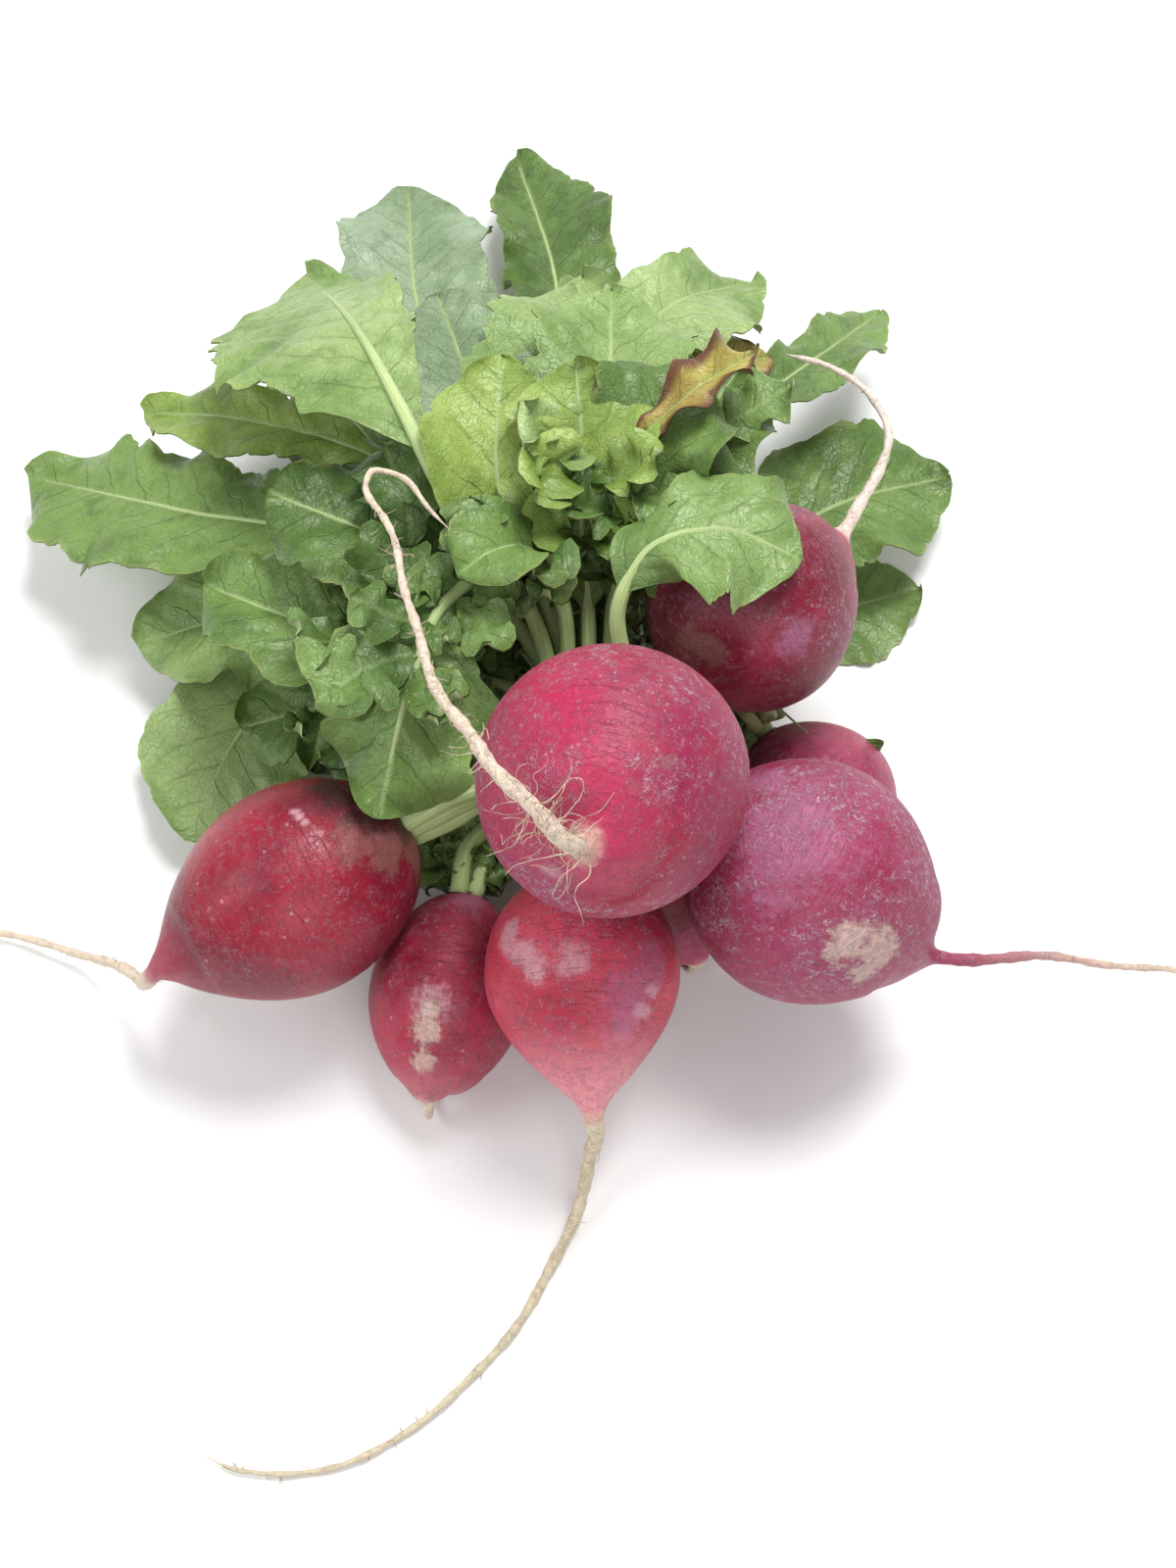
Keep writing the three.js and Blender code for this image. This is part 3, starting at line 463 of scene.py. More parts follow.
def tube_fields(angle, along, stage):
    """What a tube keeps at its points: its turn with the length in cm, and the stage of its line."""
    full = np.broadcast_to(along[:, None], (len(along), len(angle)))
    turned = np.stack([np.cos(angle) + 0 * full, np.sin(angle) + 0 * full, full / CM], -1)
    return {"turned": turned, "stage": np.broadcast_to(stage[:, None], full.shape)}


def root_skin(root, seed):
    """The fine surface of one root and its tap root, and the line that the tap root follows."""
    crown, tip = bulb_ends(root)
    axis = tip - crown
    tail = Route([crown + BEND_FROM * axis, tip, *root["route"]])
    thick, thin = root["tail"]
    u = FIRST_RING + (LAST_RING - FIRST_RING) * (0.5 - 0.5 * np.cos(np.linspace(0, np.pi, SKIN_ROWS)))
    blunt = np.where(u < root["belly"], CROWN_ROUND, root["taper"])
    round_part = root["radius"] * np.sin(np.pi * u ** belly_power(root)) ** blunt
    neck = thick * smoothstep(0.6, 1, u)
    bulb = np.cbrt(round_part**3 + neck**3)
    bulb[0] = max(bulb[0], CROWN_RADIUS)
    past = np.clip((u - BEND_FROM) / (1 - BEND_FROM), 0, 1) * tail.marks[1]
    straight = u[:, None] < BEND_FROM
    centres = np.where(straight, crown + axis * u[:, None], tail.at(past))
    ways = np.where(straight, unit(axis), tail.direction(past))
    span = tail.length - tail.marks[1]
    share = np.linspace(0, 1, int(span / TAIL_STEP)) ** 1.15
    reach = tail.marks[1] + span * share
    rng = np.random.default_rng(seed)
    phase = rng.uniform(0, 6.28, 8)
    knots = 0.1 * np.sin(reach * 0.9 + phase[0]) + 0.07 * np.sin(reach * 2.3 + phase[1])
    slim = 0.96 - 0.16 * smoothstep(0.1, 0.6, share)
    thread = (thick + (thin - thick) * share**TAIL_THINNING) * (slim + knots * smoothstep(0, 0.1, share))
    thread = thread * (1 - 0.75 * smoothstep(TAIL_END, 1, share))
    sway_x, sway_y = np.sin(reach * 0.31 + phase[2]), np.sin(reach * 0.27 + phase[3])
    sway = np.stack([sway_x, sway_y, 0.4 * np.sin(reach * 0.4 + phase[4])], -1)
    sway = TAIL_SWAY * smoothstep(0.03, 0.12, share)[:, None] * sway
    line = np.vstack([centres, tail.at(reach) + sway])
    ways = np.vstack([ways, tail.direction(reach)])
    radius = np.r_[bulb, thread]
    along = np.r_[0, np.cumsum(np.linalg.norm(np.diff(line, axis=0), axis=1))]
    steps = np.linspace(-JOIN_EASE, JOIN_EASE, 9)
    eased = np.mean([np.interp(along + step, along, radius) for step in steps], 0)
    near_tip = np.exp(-(((along - along[SKIN_ROWS]) / 4) ** 2))
    radius = radius + (eased - radius) * near_tip
    kind = np.r_[u, 1 + share]
    across = unit(np.cross([0, 0, 1], axis))
    angle = 2 * np.pi * (np.arange(SKIN_SIDES) + 0.5) / SKIN_SIDES
    lump = 0.012 * np.sin(2 * angle + phase[5]) + 0.007 * np.sin(3 * angle + phase[6])
    swell = np.sin(np.pi * np.clip(kind, 0, 1))[:, None]
    folds = 0.05 * np.cos(5 * angle + phase[7]) * np.exp(-(((kind - 0.98) / 0.06) ** 2))[:, None]
    shoulder = 0.03 * np.cos(6 * angle + phase[1]) * np.exp(-((kind / 0.09) ** 2))[:, None]
    sizes = radius[:, None] * (1 + lump * swell + folds + shoulder)
    rings = tube_rings(line, ways, sizes, angle, across, 0)
    fields = tube_fields(angle, along, kind)
    return (rings, fields, 0, ()), (line[SKIN_ROWS:], radius[SKIN_ROWS:], share)


def skin_finish(root):
    """Radish skin: blotchy red under silvery flecks and scales, fine scars across it, pale rubbed
    patches, and the tap root fading to cream."""
    wire, shader, made = material(root["name"] + "_skin")
    place, turned, stage = wire.place(), wire.field("turned", 1), wire.field("stage")
    bright, deep = root["skin"]
    blotch = wire.grain(place, 48, 4, 0.6).rise(0.36, 0.64)
    colour = blotch.tint(bright, deep)
    fine = wire.grain(place, 460, 5, 0.65)
    colour = (fine.rise(0.5, 0.25) * 0.45).tint(colour, DEEP)
    round_it = turned.stretched((2.2, 2.2, 26))
    scars = wire.grain(round_it, 1.7, 5, 0.65, 0.6).rise(0.56, 0.74)
    colour = (scars * 0.3).tint(colour, PINK)
    where = wire.grain(place, 62, 5, 0.66).rise(0.4, 0.6)
    worms = (wire.grain(place, 1250, 2, 0.5, 0.8) - 0.5).size().rise(0.05, 0.012)
    curls = (wire.grain(place, 640, 2, 0.5, 1.2) - 0.5).size().rise(0.024, 0.007)
    broken = wire.grain(place, 700, 3, 0.6).rise(0.44, 0.58)
    flecks = worms.math("MAXIMUM", worms, curls) * broken
    bloom = wire.grain(place, 1500, 3, 0.75).rise(0.42, 0.66)
    scuff = where * root["scuff"]
    colour = (scuff * (0.08 + 0.42 * bloom)).tint(colour, SILVER)
    colour = (flecks * (0.06 + 0.12 * root["scuff"] + 0.7 * scuff)).tint(colour, (0.7, 0.46, 0.53))
    specks = wire.cells(place, 900).rise(0.2, 0.1) * wire.grain(place, 200, 2).rise(0.45, 0.6)
    colour = (specks * 0.35 * root["scuff"]).tint(colour, (0.7, 0.45, 0.5))
    dots = wire.cells(place, 250).rise(0.1, 0.05)
    colour = (dots * 0.4).tint(colour, (0.62, 0.36, 0.4))
    ragged = wire.grain(place, 420, 6, 0.8, 0.2) - 0.5
    drift = wire.grain(place, 130, 4, 0.6) - 0.5
    streaks = wire.grain(turned.stretched((9, 9, 0.7)), 2.2, 5, 0.7) - 0.5
    bare = None
    for shade, spots in root["patches"].items():
        near = None
        for *middle, size in spots:
            ends = {0: place, 1: tuple(to_metres(middle))}
            away = wire.add("ShaderNodeVectorMath", {"operation": "DISTANCE"}, ends, out=1) * (1000 / size)
            near = away if near is None else near.math("MINIMUM", near, away)
        soft = 0.35 if shade in (WHITE, CORK, SOIL) else 0.6
        mask = (near + ragged * 3.2 + drift * 2.2 + streaks * 1.2).rise(1 + soft, 1 - soft)
        mask = mask * (0.72 + 0.28 * bloom) * PATCH_STRENGTH[shade]
        colour = mask.tint(colour, shade)
        if shade in (WHITE, CORK):
            bare = mask if bare is None else bare.math("MAXIMUM", bare, mask)
    blush = (stage + (blotch - 0.5) * 0.05).rise(root["blush"] - 0.13, max(root["blush"] + 0.05, 1.0))
    colour = (blush * 0.75).tint(colour, root["tip_tone"])
    fade = (stage + (fine - 0.5) * 0.03).rise(*root.get("paling", (0.985, 1.03)))
    colour = fade.tint(colour, root.get("tail_tone", CREAM))
    stain = (wire.grain(round_it, 1.1, 5, 0.75).rise(0.5, 0.7) * fade) * 0.55
    colour = stain.tint(colour, (0.42, 0.26, 0.17))
    dents = wire.grain(place, 85, 3, 0.5)
    height = fine * 0.55 + flecks * (0.3 + 0.6 * scuff) + bloom * scuff * 0.4 + scars * 0.35 + dents * 1.8
    if bare is not None:
        height = height - bare * 0.5
    feed(
        shader,
        Base_Color=colour,
        Roughness=root["gloss"] - 0.06 + 0.16 * scuff + 0.12 * fine + 0.1 * fade,
        Specular_IOR_Level=0.38,
        Normal=relief(wire, height, 0.0003, 0.9),
    )
    return made


threads = {}
for count, root in enumerate(ROOTS):
    shell, threads[root["name"]] = root_skin(root, ROOT_SEED + count)
    stand_in(root["name"], closed_skins(root["name"] + "_skin", [shell], [skin_finish(root)]))


# The root hairs: fine feeding roots, pale cream to brown, that grow out of the tap roots. A tangle
# of them lies round the foot of the top radish's tap root.
HAIR_STEP, HAIR_LEAST_HEIGHT, HAIR_OFF_SKIN, HAIR_SEED = 0.55, 0.2, 0.25, 101


def hair_line(start, way, length, rng, curl, stay_off):
    """The points of one hair, which turns as it grows and stays above the bulb it lies on."""
    steps = max(5, int(length / HAIR_STEP))
    turn = rng.normal(0, 1, 3)
    p, line = np.array(start, float), []
    for _ in range(steps + 1):
        line.append(p.copy())
        turn = turn * 0.86 + rng.normal(0, 0.5, 3)
        way = unit(way + turn * curl)
        p = stay_off(p + way * length / steps)
        p[2] = max(p[2], HAIR_LEAST_HEIGHT)
    return line


def off_the_bulb(root):
    """A function that pushes a point out of the root's bulb."""
    crown, tip = bulb_ends(root)
    axis = tip - crown

    def push(p):
        u = np.dot(p - crown, axis) / np.dot(axis, axis)
        if not 0.02 < u < 0.995:
            return p
        middle = crown + axis * u
        radius = root["radius"] * math.sin(math.pi * u ** belly_power(root)) ** root["taper"] + HAIR_OFF_SKIN
        out = p - middle
        off = np.linalg.norm(out)
        return middle + out / off * max(off, radius)

    return push


def sweep_tree():
    """A tree that sweeps lines into round threads, each as thick as its points say."""
    tree = bpy.data.node_groups.new("thread_sweep", "GeometryNodeTree")
    for name, kind in (("Lines", "Geometry"), ("Sides", "Int"), ("Finish", "Material")):
        tree.interface.new_socket(name, in_out="INPUT", socket_type="NodeSocket" + kind)
    tree.interface.new_socket("Threads", in_out="OUTPUT", socket_type="NodeSocketGeometry")

    def node(kind, **inputs):
        made = tree.nodes.new(kind)
        for name, value in inputs.items():
            socket = made.inputs[name.replace("_", " ")]
            if isinstance(value, bpy.types.NodeSocket):
                tree.links.new(value, socket)
            else:
                socket.default_value = value
        return made

    given = tree.nodes.new("NodeGroupInput")
    thick = next(o for o in node("GeometryNodeInputNamedAttribute", Name="thick").outputs if o.enabled)
    curves = node("GeometryNodeMeshToCurve", Mesh=given.outputs["Lines"])
    outline = node("GeometryNodeCurvePrimitiveCircle", Resolution=given.outputs["Sides"], Radius=1.0)
    line, ring, finish = curves.outputs["Curve"], outline.outputs["Curve"], given.outputs["Finish"]
    tube = node("GeometryNodeCurveToMesh", Curve=line, Profile_Curve=ring, Scale=thick, Fill_Caps=True)
    smooth = node("GeometryNodeSetShadeSmooth", Geometry=tube.outputs["Mesh"])
    real = node("GeometryNodeRealizeInstances", Geometry=smooth.outputs["Geometry"])
    done = node("GeometryNodeSetMaterial", Geometry=real.outputs["Geometry"], Material=finish)
    tree.links.new(done.outputs["Geometry"], tree.nodes.new("NodeGroupOutput").inputs["Threads"])
    return tree


THREAD_END = 0.45


def threads_piece(name, lines, thicknesses, finish, sides=4):
    """Sweeps the lines into one plain mesh that rides with the bunch. Threads thin towards the end."""
    points, edges, sizes = [], [], []
    for line, thick in zip(lines, thicknesses):
        first = len(points)
        points += to_metres(line).tolist()
        edges += [(first + i, first + i + 1) for i in range(len(line) - 1)]
        sizes += (thick * np.linspace(1, THREAD_END, len(line)) / 1000).tolist()
    mesh = bpy.data.meshes.new(name + "_lines")
    mesh.from_pydata(points, edges, [])
    mesh.attributes.new("thick", "FLOAT", "POINT").data.foreach_set("value", sizes)
    rough = put(name + "_lines", mesh)
    modifier = rough.modifiers.new("sweep", "NODES")
    modifier.node_group = SWEEP
    inputs = {item.name: item.identifier for item in SWEEP.interface.items_tree if item.in_out == "INPUT"}
    modifier[inputs["Sides"]] = sides
    modifier[inputs["Finish"]] = finish
    ready = rough.evaluated_get(bpy.context.evaluated_depsgraph_get())
    plain = bpy.data.meshes.new_from_object(ready)
    plain.name = name
    bpy.data.objects.remove(rough)
    piece = put(name, plain)
    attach(piece, "root")


SWEEP = sweep_tree()
wire, shader, hair_finish = material("root_hair")
place = wire.place()
dirt = wire.grain(place, 300, 3).rise(0.35, 0.7)
feed(
    shader,
    Base_Color=dirt.tint((0.66, 0.52, 0.4), (0.32, 0.2, 0.14)),
    Roughness=0.6 + 0.2 * dirt,
    Normal=relief(wire, wire.grain(place, 2500, 2), 0.00005, 0.4),
)
HAIRS = [
    ("root_top", 54, (0.005, 0.13), (3, 13), 0.4),
    ("root_top", 26, (0.1, 0.3), (1.5, 6), 0.3),
    ("root_top", 34, (0.3, 0.75), (0.8, 3.2), 0.3),
    ("root_front", 34, (0.03, 0.97), (0.6, 2.4), 0.3),
    ("root_left", 16, (0.1, 0.95), (0.6, 2.2), 0.3),
    ("root_right", 12, (0.3, 0.97), (0.5, 1.6), 0.3),
    ("root_upright", 10, (0.2, 0.95), (0.5, 1.8), 0.3),
]
for count, (name, number, (first, last), (short, long), curl) in enumerate(HAIRS):
    rng = np.random.default_rng(HAIR_SEED + count)
    line, radius, share = threads[name]
    push = off_the_bulb(root_named(name))
    lines, sizes = [], []
    for _ in range(number):
        i = int(np.clip(np.interp(rng.uniform(first, last), share, np.arange(len(line))), 1, len(line) - 2))
        way = unit(line[i + 1] - line[i - 1])
        out = unit(np.cross(way, rng.normal(0, 1, 3)))
        heading = out + way * rng.uniform(-0.3, 0.5)
        start = line[i] + out * radius[i] * 0.7
        lines.append(hair_line(start, heading, rng.uniform(short, long), rng, curl, push))
        sizes.append(rng.uniform(0.06, 0.11))
    threads_piece(f"{name}_hairs_{count}", lines, sizes, hair_finish)


# The leaves: thin lobed blades on long round stalks. They come off the crowns, run side by side
# through the band, and spread behind it in seven levels. Veins part each blade into puckers.
HEAP_X, HEAP_Y, HEAP_NECK_TOP, HEAP_SWELL, HEAP_SINK, HEAP_REST = -2, 15, 36, 20, 40, 0.35
STALK_RADIUS, STALK_TAPER, CROWN_PITCH, CROWN_ZIGZAG, CROWN_GAP = 1.5, 0.25, 2.1, 1.7, 0.6
FOOT_DEPTH, FOOT_DRAWN_IN, FOOT_REACH, CROWN_STRAIGHT = 1.4, 0.7, 7, 4
# Each leaf: its name, its root, its place in the band's grid, whether its underside is up, its green,
# the line of its stalk with levels of the heap, or heights where they say z, then the length, widths,
# lobes, depth of cuts, fold and wave of its blade.
LEAVES = [
    ("leaf_hanging", "root_left", (0, 6), True, "mid",
     [(-8.5, 24, 40, "z"), (-14, 27, 50, "z"), (-22, 19, 54, "z"), (-28, 3, 51, "z"), (-32, -13, 43, "z")],
     44, (15, 13), 3, 0.27, -0.3, 3),
    ("leaf_small_folded", "root_top", (1, 6), False, "mid",
     [(-4, 26, 42, "z"), (-9, 29, 54, "z"), (-15, 24, 61, "z"), (-20, 19, 62, "z")],
     24, (9, 9), 2, 0.17, 0.45, 1.2),
    ("leaf_middle_top", "root_top", (2, 6), False, "yellow",
     [(0, 28, 39, "z"), (-1, 36, 49, "z"), (-1, 46, 59, "z"), (-2, 58, 65, "z")],
     42, (14, 13), 3, 0.17, 0.15, 2),
    ("leaf_right_top", "root_upright", (3, 6), False, "mid",
     [(4, 28, 39, "z"), (6, 36, 50, "z"), (10, 47, 60, "z"), (16, 60, 62, "z")],
     44, (13, 14), 3, 0.2, 0.15, 2.2),
    ("leaf_over_upright", "root_upright", None, False, "fresh",
     [(6.5, 13, 44.5, "z"), (4.6, 18, 54, "z"), (10, 25, 61.5, "z"), (20, 27, 63, "z"), (33, 24, 59, "z")],
     34, (13, 15), 3, 0.2, -0.1, 2.6),
    ("leaf_upper_left_pale", "root_left", (0, 5), True, "light",
     [(-12, 27, 5.4), (-22, 38, 6.1), (-35, 64, 6.2), (-50, 101, 6.1)],
     68, (24.5, 12), 3, 0.1, -0.1, 1.8),
    ("leaf_centre_cupped", "root_top", (1, 5), True, "yellow",
     [(-7, 30, 5.5), (-14, 40, 6.2), (-14, 62, 6.5)],
     44, (12, 10), 2, 0.1, 0.35, 1.4),
    ("leaf_centre_back", "root_top", (2, 5), False, "light",
     [(0, 34, 5.4), (3, 52, 5.8), (4, 82, 5.8)],
     52, (15, 15), 3, 0.17, 0.15, 2.2),
    ("leaf_right_ruffled", "root_upright", (3, 5), False, "mid",
     [(5, 36, 5.2), (13, 46, 5.5), (25, 66, 5.6)],
     50, (14, 14), 4, 0.2, 0.25, 2.6),
    ("leaf_left_dark", "root_left", (0, 4), False, "dark",
     [(-12, 25, 4.7), (-26, 33, 5), (-52, 44, 5.2)],
     56, (15, 16), 3, 0.17, 0.15, 2.2),
    ("leaf_back_left_mid", "root_front", (1, 4), False, "grey",
     [(-8, 38, 4.6), (-18, 62, 4.9), (-26, 92, 4.9)],
     60, (16, 15), 3, 0.17, 0.15, 2.2),
    ("leaf_centre_pale", "root_top", (2, 4), True, "light",
     [(-3, 38, 4.6), (-5, 60, 5.2), (-1, 90, 5.5)],
     58, (16, 14), 3, 0.14, 0.15, 2),
    ("leaf_right_light", "root_right", (3, 4), False, "light",
     [(3, 40, 4.5), (4, 64, 4.9), (12, 82, 5.1), (29, 99, 5.1)],
     58, (9.5, 14.5), 3, 0.12, 0.25, 2.2),
    ("leaf_left_curled", "root_left", (0, 3), False, "mid",
     [(-14, 20, 3.9), (-31, 21, 4.1), (-48, 26, 4.1), (-63, 34, 3.9)],
     48, (13, 13), 3, 0.14, 0.35, 1.8),
    ("leaf_left_slim", "root_front", (1, 3), False, "yellow",
     [(-12, 36, 3.4), (-32, 58, 3.6), (-60, 73, 3.7), (-80, 83, 3.5)],
     60, (9, 8), 3, 0.14, 0.2, 1.6),
    ("leaf_back_middle", "root_front", (2, 3), False, "mid",
     [(0, 40, 3.5), (3, 70, 3.9), (12, 106, 4.1)],
     66, (17, 17), 3, 0.17, 0.12, 2.2),
    ("leaf_dry_yellow", "root_right", (3, 3), False, "dry",
     [(4.5, 38, 3.8), (9, 56, 4.2), (17, 70, 4.4), (31, 80, 4.3)],
     34, (10, 9), 2, 0.17, 0.3, 2),
    ("leaf_beside_left", "root_left", None, False, "dark",
     [(-24, 4, 27, "z"), (-31, 13, 26, "z"), (-43, 18, 23, "z"), (-58, 16, 20, "z")],
     36, (14, 13), 3, 0.17, 0.15, 2),
    ("leaf_left_big", "root_left", (0, 2), False, "mid",
     [(-14, 28, 2.6), (-38, 46, 3), (-70, 57, 3), (-101.5, 74, 2.8)],
     80, (17, 15), 4, 0.17, 0.1, 1.8),
    ("leaf_top_left_grey", "root_under", (1, 2), False, "grey",
     [(-8, 38, 2.5), (-20, 70, 2.7), (-31, 104, 3.1), (-35, 142.5, 3.4)],
     76, (15.5, 16.5), 3, 0.17, 0.1, 1.8),
    ("leaf_far_back", "root_front", (2, 2), False, "dark",
     [(-2, 40, 2.5), (-5, 76, 2.8), (-6, 112, 3.2), (-14, 150, 3.4)],
     80, (10, 14.5), 3, 0.2, 0.12, 2),
    ("leaf_right_pointed", "root_right", (3, 2), False, "mid",
     [(5, 38, 2.6), (12, 64, 3), (32, 80, 3.2), (54.5, 108.5, 3.3)],
     60, (6.5, 9), 3, 0.12, 0.2, 1.8),
    ("leaf_left_second", "root_front_left", (0, 1), False, "fresh",
     [(-14, 24, 1.7), (-34, 34, 1.8), (-56, 41, 1.7), (-78.5, 37.5, 1.4)],
     56, (16, 16), 3, 0.17, 0.1, 1.8),
    ("leaf_back_left_under", "root_front_left", (1, 1), False, "dark",
     [(-10, 34, 1.5), (-28, 62, 1.6), (-52, 98, 1.7)],
     80, (17, 17), 3, 0.17, 0.1, 1.6),
    ("leaf_back_under", "root_under", (2, 1), False, "dark",
     [(1, 38, 1.5), (6, 70, 1.8), (10, 112, 2)],
     78, (18, 18), 3, 0.17, 0.1, 1.6),
    ("leaf_right_broad", "root_behind", (3, 1), False, "mid",
     [(9, 31, 1.3), (25, 50, 1.3), (44, 66, 1.3), (65.5, 75, 1.2)],
     54, (15, 16), 3, 0.12, 0.1, 1.6),
    ("leaf_left_low", "root_front_left", (0, 0), True, "light",
     [(-15, 21, 1.2), (-36, 29, 1), (-54.5, 26, 1), (-68, 1.5, 0.7)],
     52, (15, 16), 3, 0.12, 0.1, 1.4),
    ("leaf_under_left", "root_front_left", None, False, "dark",
     [(-21, -4, 12, "z"), (-25, 2, 7, "z"), (-33, 5, 3, "z"), (-46, 4, 1.2, "z")],
     28, (10, 10), 2, 0.14, 0.05, 1),
    ("leaf_table_left", "root_front_left", (1, 0), False, "dark",
     [(-12, 32, 0.3), (-34, 50, 0.05), (-66, 64, 0)],
     80, (19, 19), 3, 0.17, 0.05, 0.8),
    ("leaf_table_back", "root_under", (2, 0), False, "dark",
     [(0, 34, 0.3), (4, 58, 0.05), (12, 88, 0)],
     70, (17, 17), 3, 0.17, 0.05, 0.8),
    ("leaf_right_low", "root_behind", (3, 0), False, "fresh",
     [(9, 26, 0.4), (26, 40, 0.2), (43, 50, 0.05), (60, 56, 0)],
     38, (12, 12), 2, 0.1, 0.06, 1.2),
]


def heap_height(x, y, level):
    """Height of a level of the heap at a place: 0 is the table, 6 the top of the heap."""
    reach = math.hypot(x - HEAP_X, y - HEAP_Y)
    low = HEAP_REST + (NECK_BOTTOM - HEAP_REST) * math.exp(-((reach / 14) ** 2))
    high = HEAP_NECK_TOP + HEAP_SWELL * smoothstep(8, 38, reach) - HEAP_SINK * smoothstep(58, 130, reach)
    return low + level / NECK_TOP_ROW * (high - low)


def leaf_route(leaf):
    """The line of a leaf's stalk and midrib, from the crown of its root, and its foot in the crown."""
    name, grows_from, slot, _, _, points = leaf[:6]
    crown, tip = bulb_ends(root_named(grows_from))
    out = unit(crown - tip)
    mates = [other[0] for other in LEAVES if other[1] == grows_from]
    place = mates.index(name)
    rise = unit(np.array([0, 0, 1]) - out * out[2])
    start = crown + out * CROWN_GAP + rise * CROWN_PITCH * (place - (len(mates) - 1) / 2)
    start = start + np.cross(out, rise) * (CROWN_ZIGZAG if place % 2 else -CROWN_ZIGZAG)
    line = [start, start + CROWN_STRAIGHT * out]
    foot = crown - FOOT_DEPTH * out + FOOT_DRAWN_IN * (start - crown)
    if slot:
        x, z = NECK_LEFT + NECK_PITCH_X * slot[0], NECK_BOTTOM + NECK_PITCH_Z * slot[1]
        line += [(x, NECK_FRONT_Y, z), (x, NECK_BACK_Y, z)]
    for x, y, level, *own in points:
        line.append((x, y, level if own else heap_height(x, y, level)))
    return Route(line), foot


def blade_reach(share, side, length, widths, lobes, cut, phase):
    """How far the blade reaches from the midrib at shares of its length, with lobes and teeth."""
    outline = np.sin(np.pi * np.clip(share, 0, 1) ** 1.45) ** 0.6
    notch = 0.5 + 0.5 * np.cos(2 * np.pi * (share * lobes + 0.25 * side))
    pitch = min(5.6, length / 4.5)
    drift = 0.5 * np.sin(share * length / (2.2 * pitch) + 3 * phase)
    teeth = np.abs(np.sin(np.pi * (share * length / pitch + phase + 0.4 * side + drift))) ** 0.6
    small = np.abs(np.sin(np.pi * (share * length * 2.7 / pitch + 2 * phase))) ** 0.7
    deep = 0.07 + 0.045 * np.sin(share * length / 5 + 5 * phase)
    return widths[side] * outline * (1 - cut * notch) * (1.04 - deep * (1.7 - 1.3 * teeth - 0.4 * small))


BLADE_HALF, UPPER_LEAST_HEIGHT, LOWER_LEAST_HEIGHT, RIB_SPACING = 0.16, 0.4, 0.05, 7.2


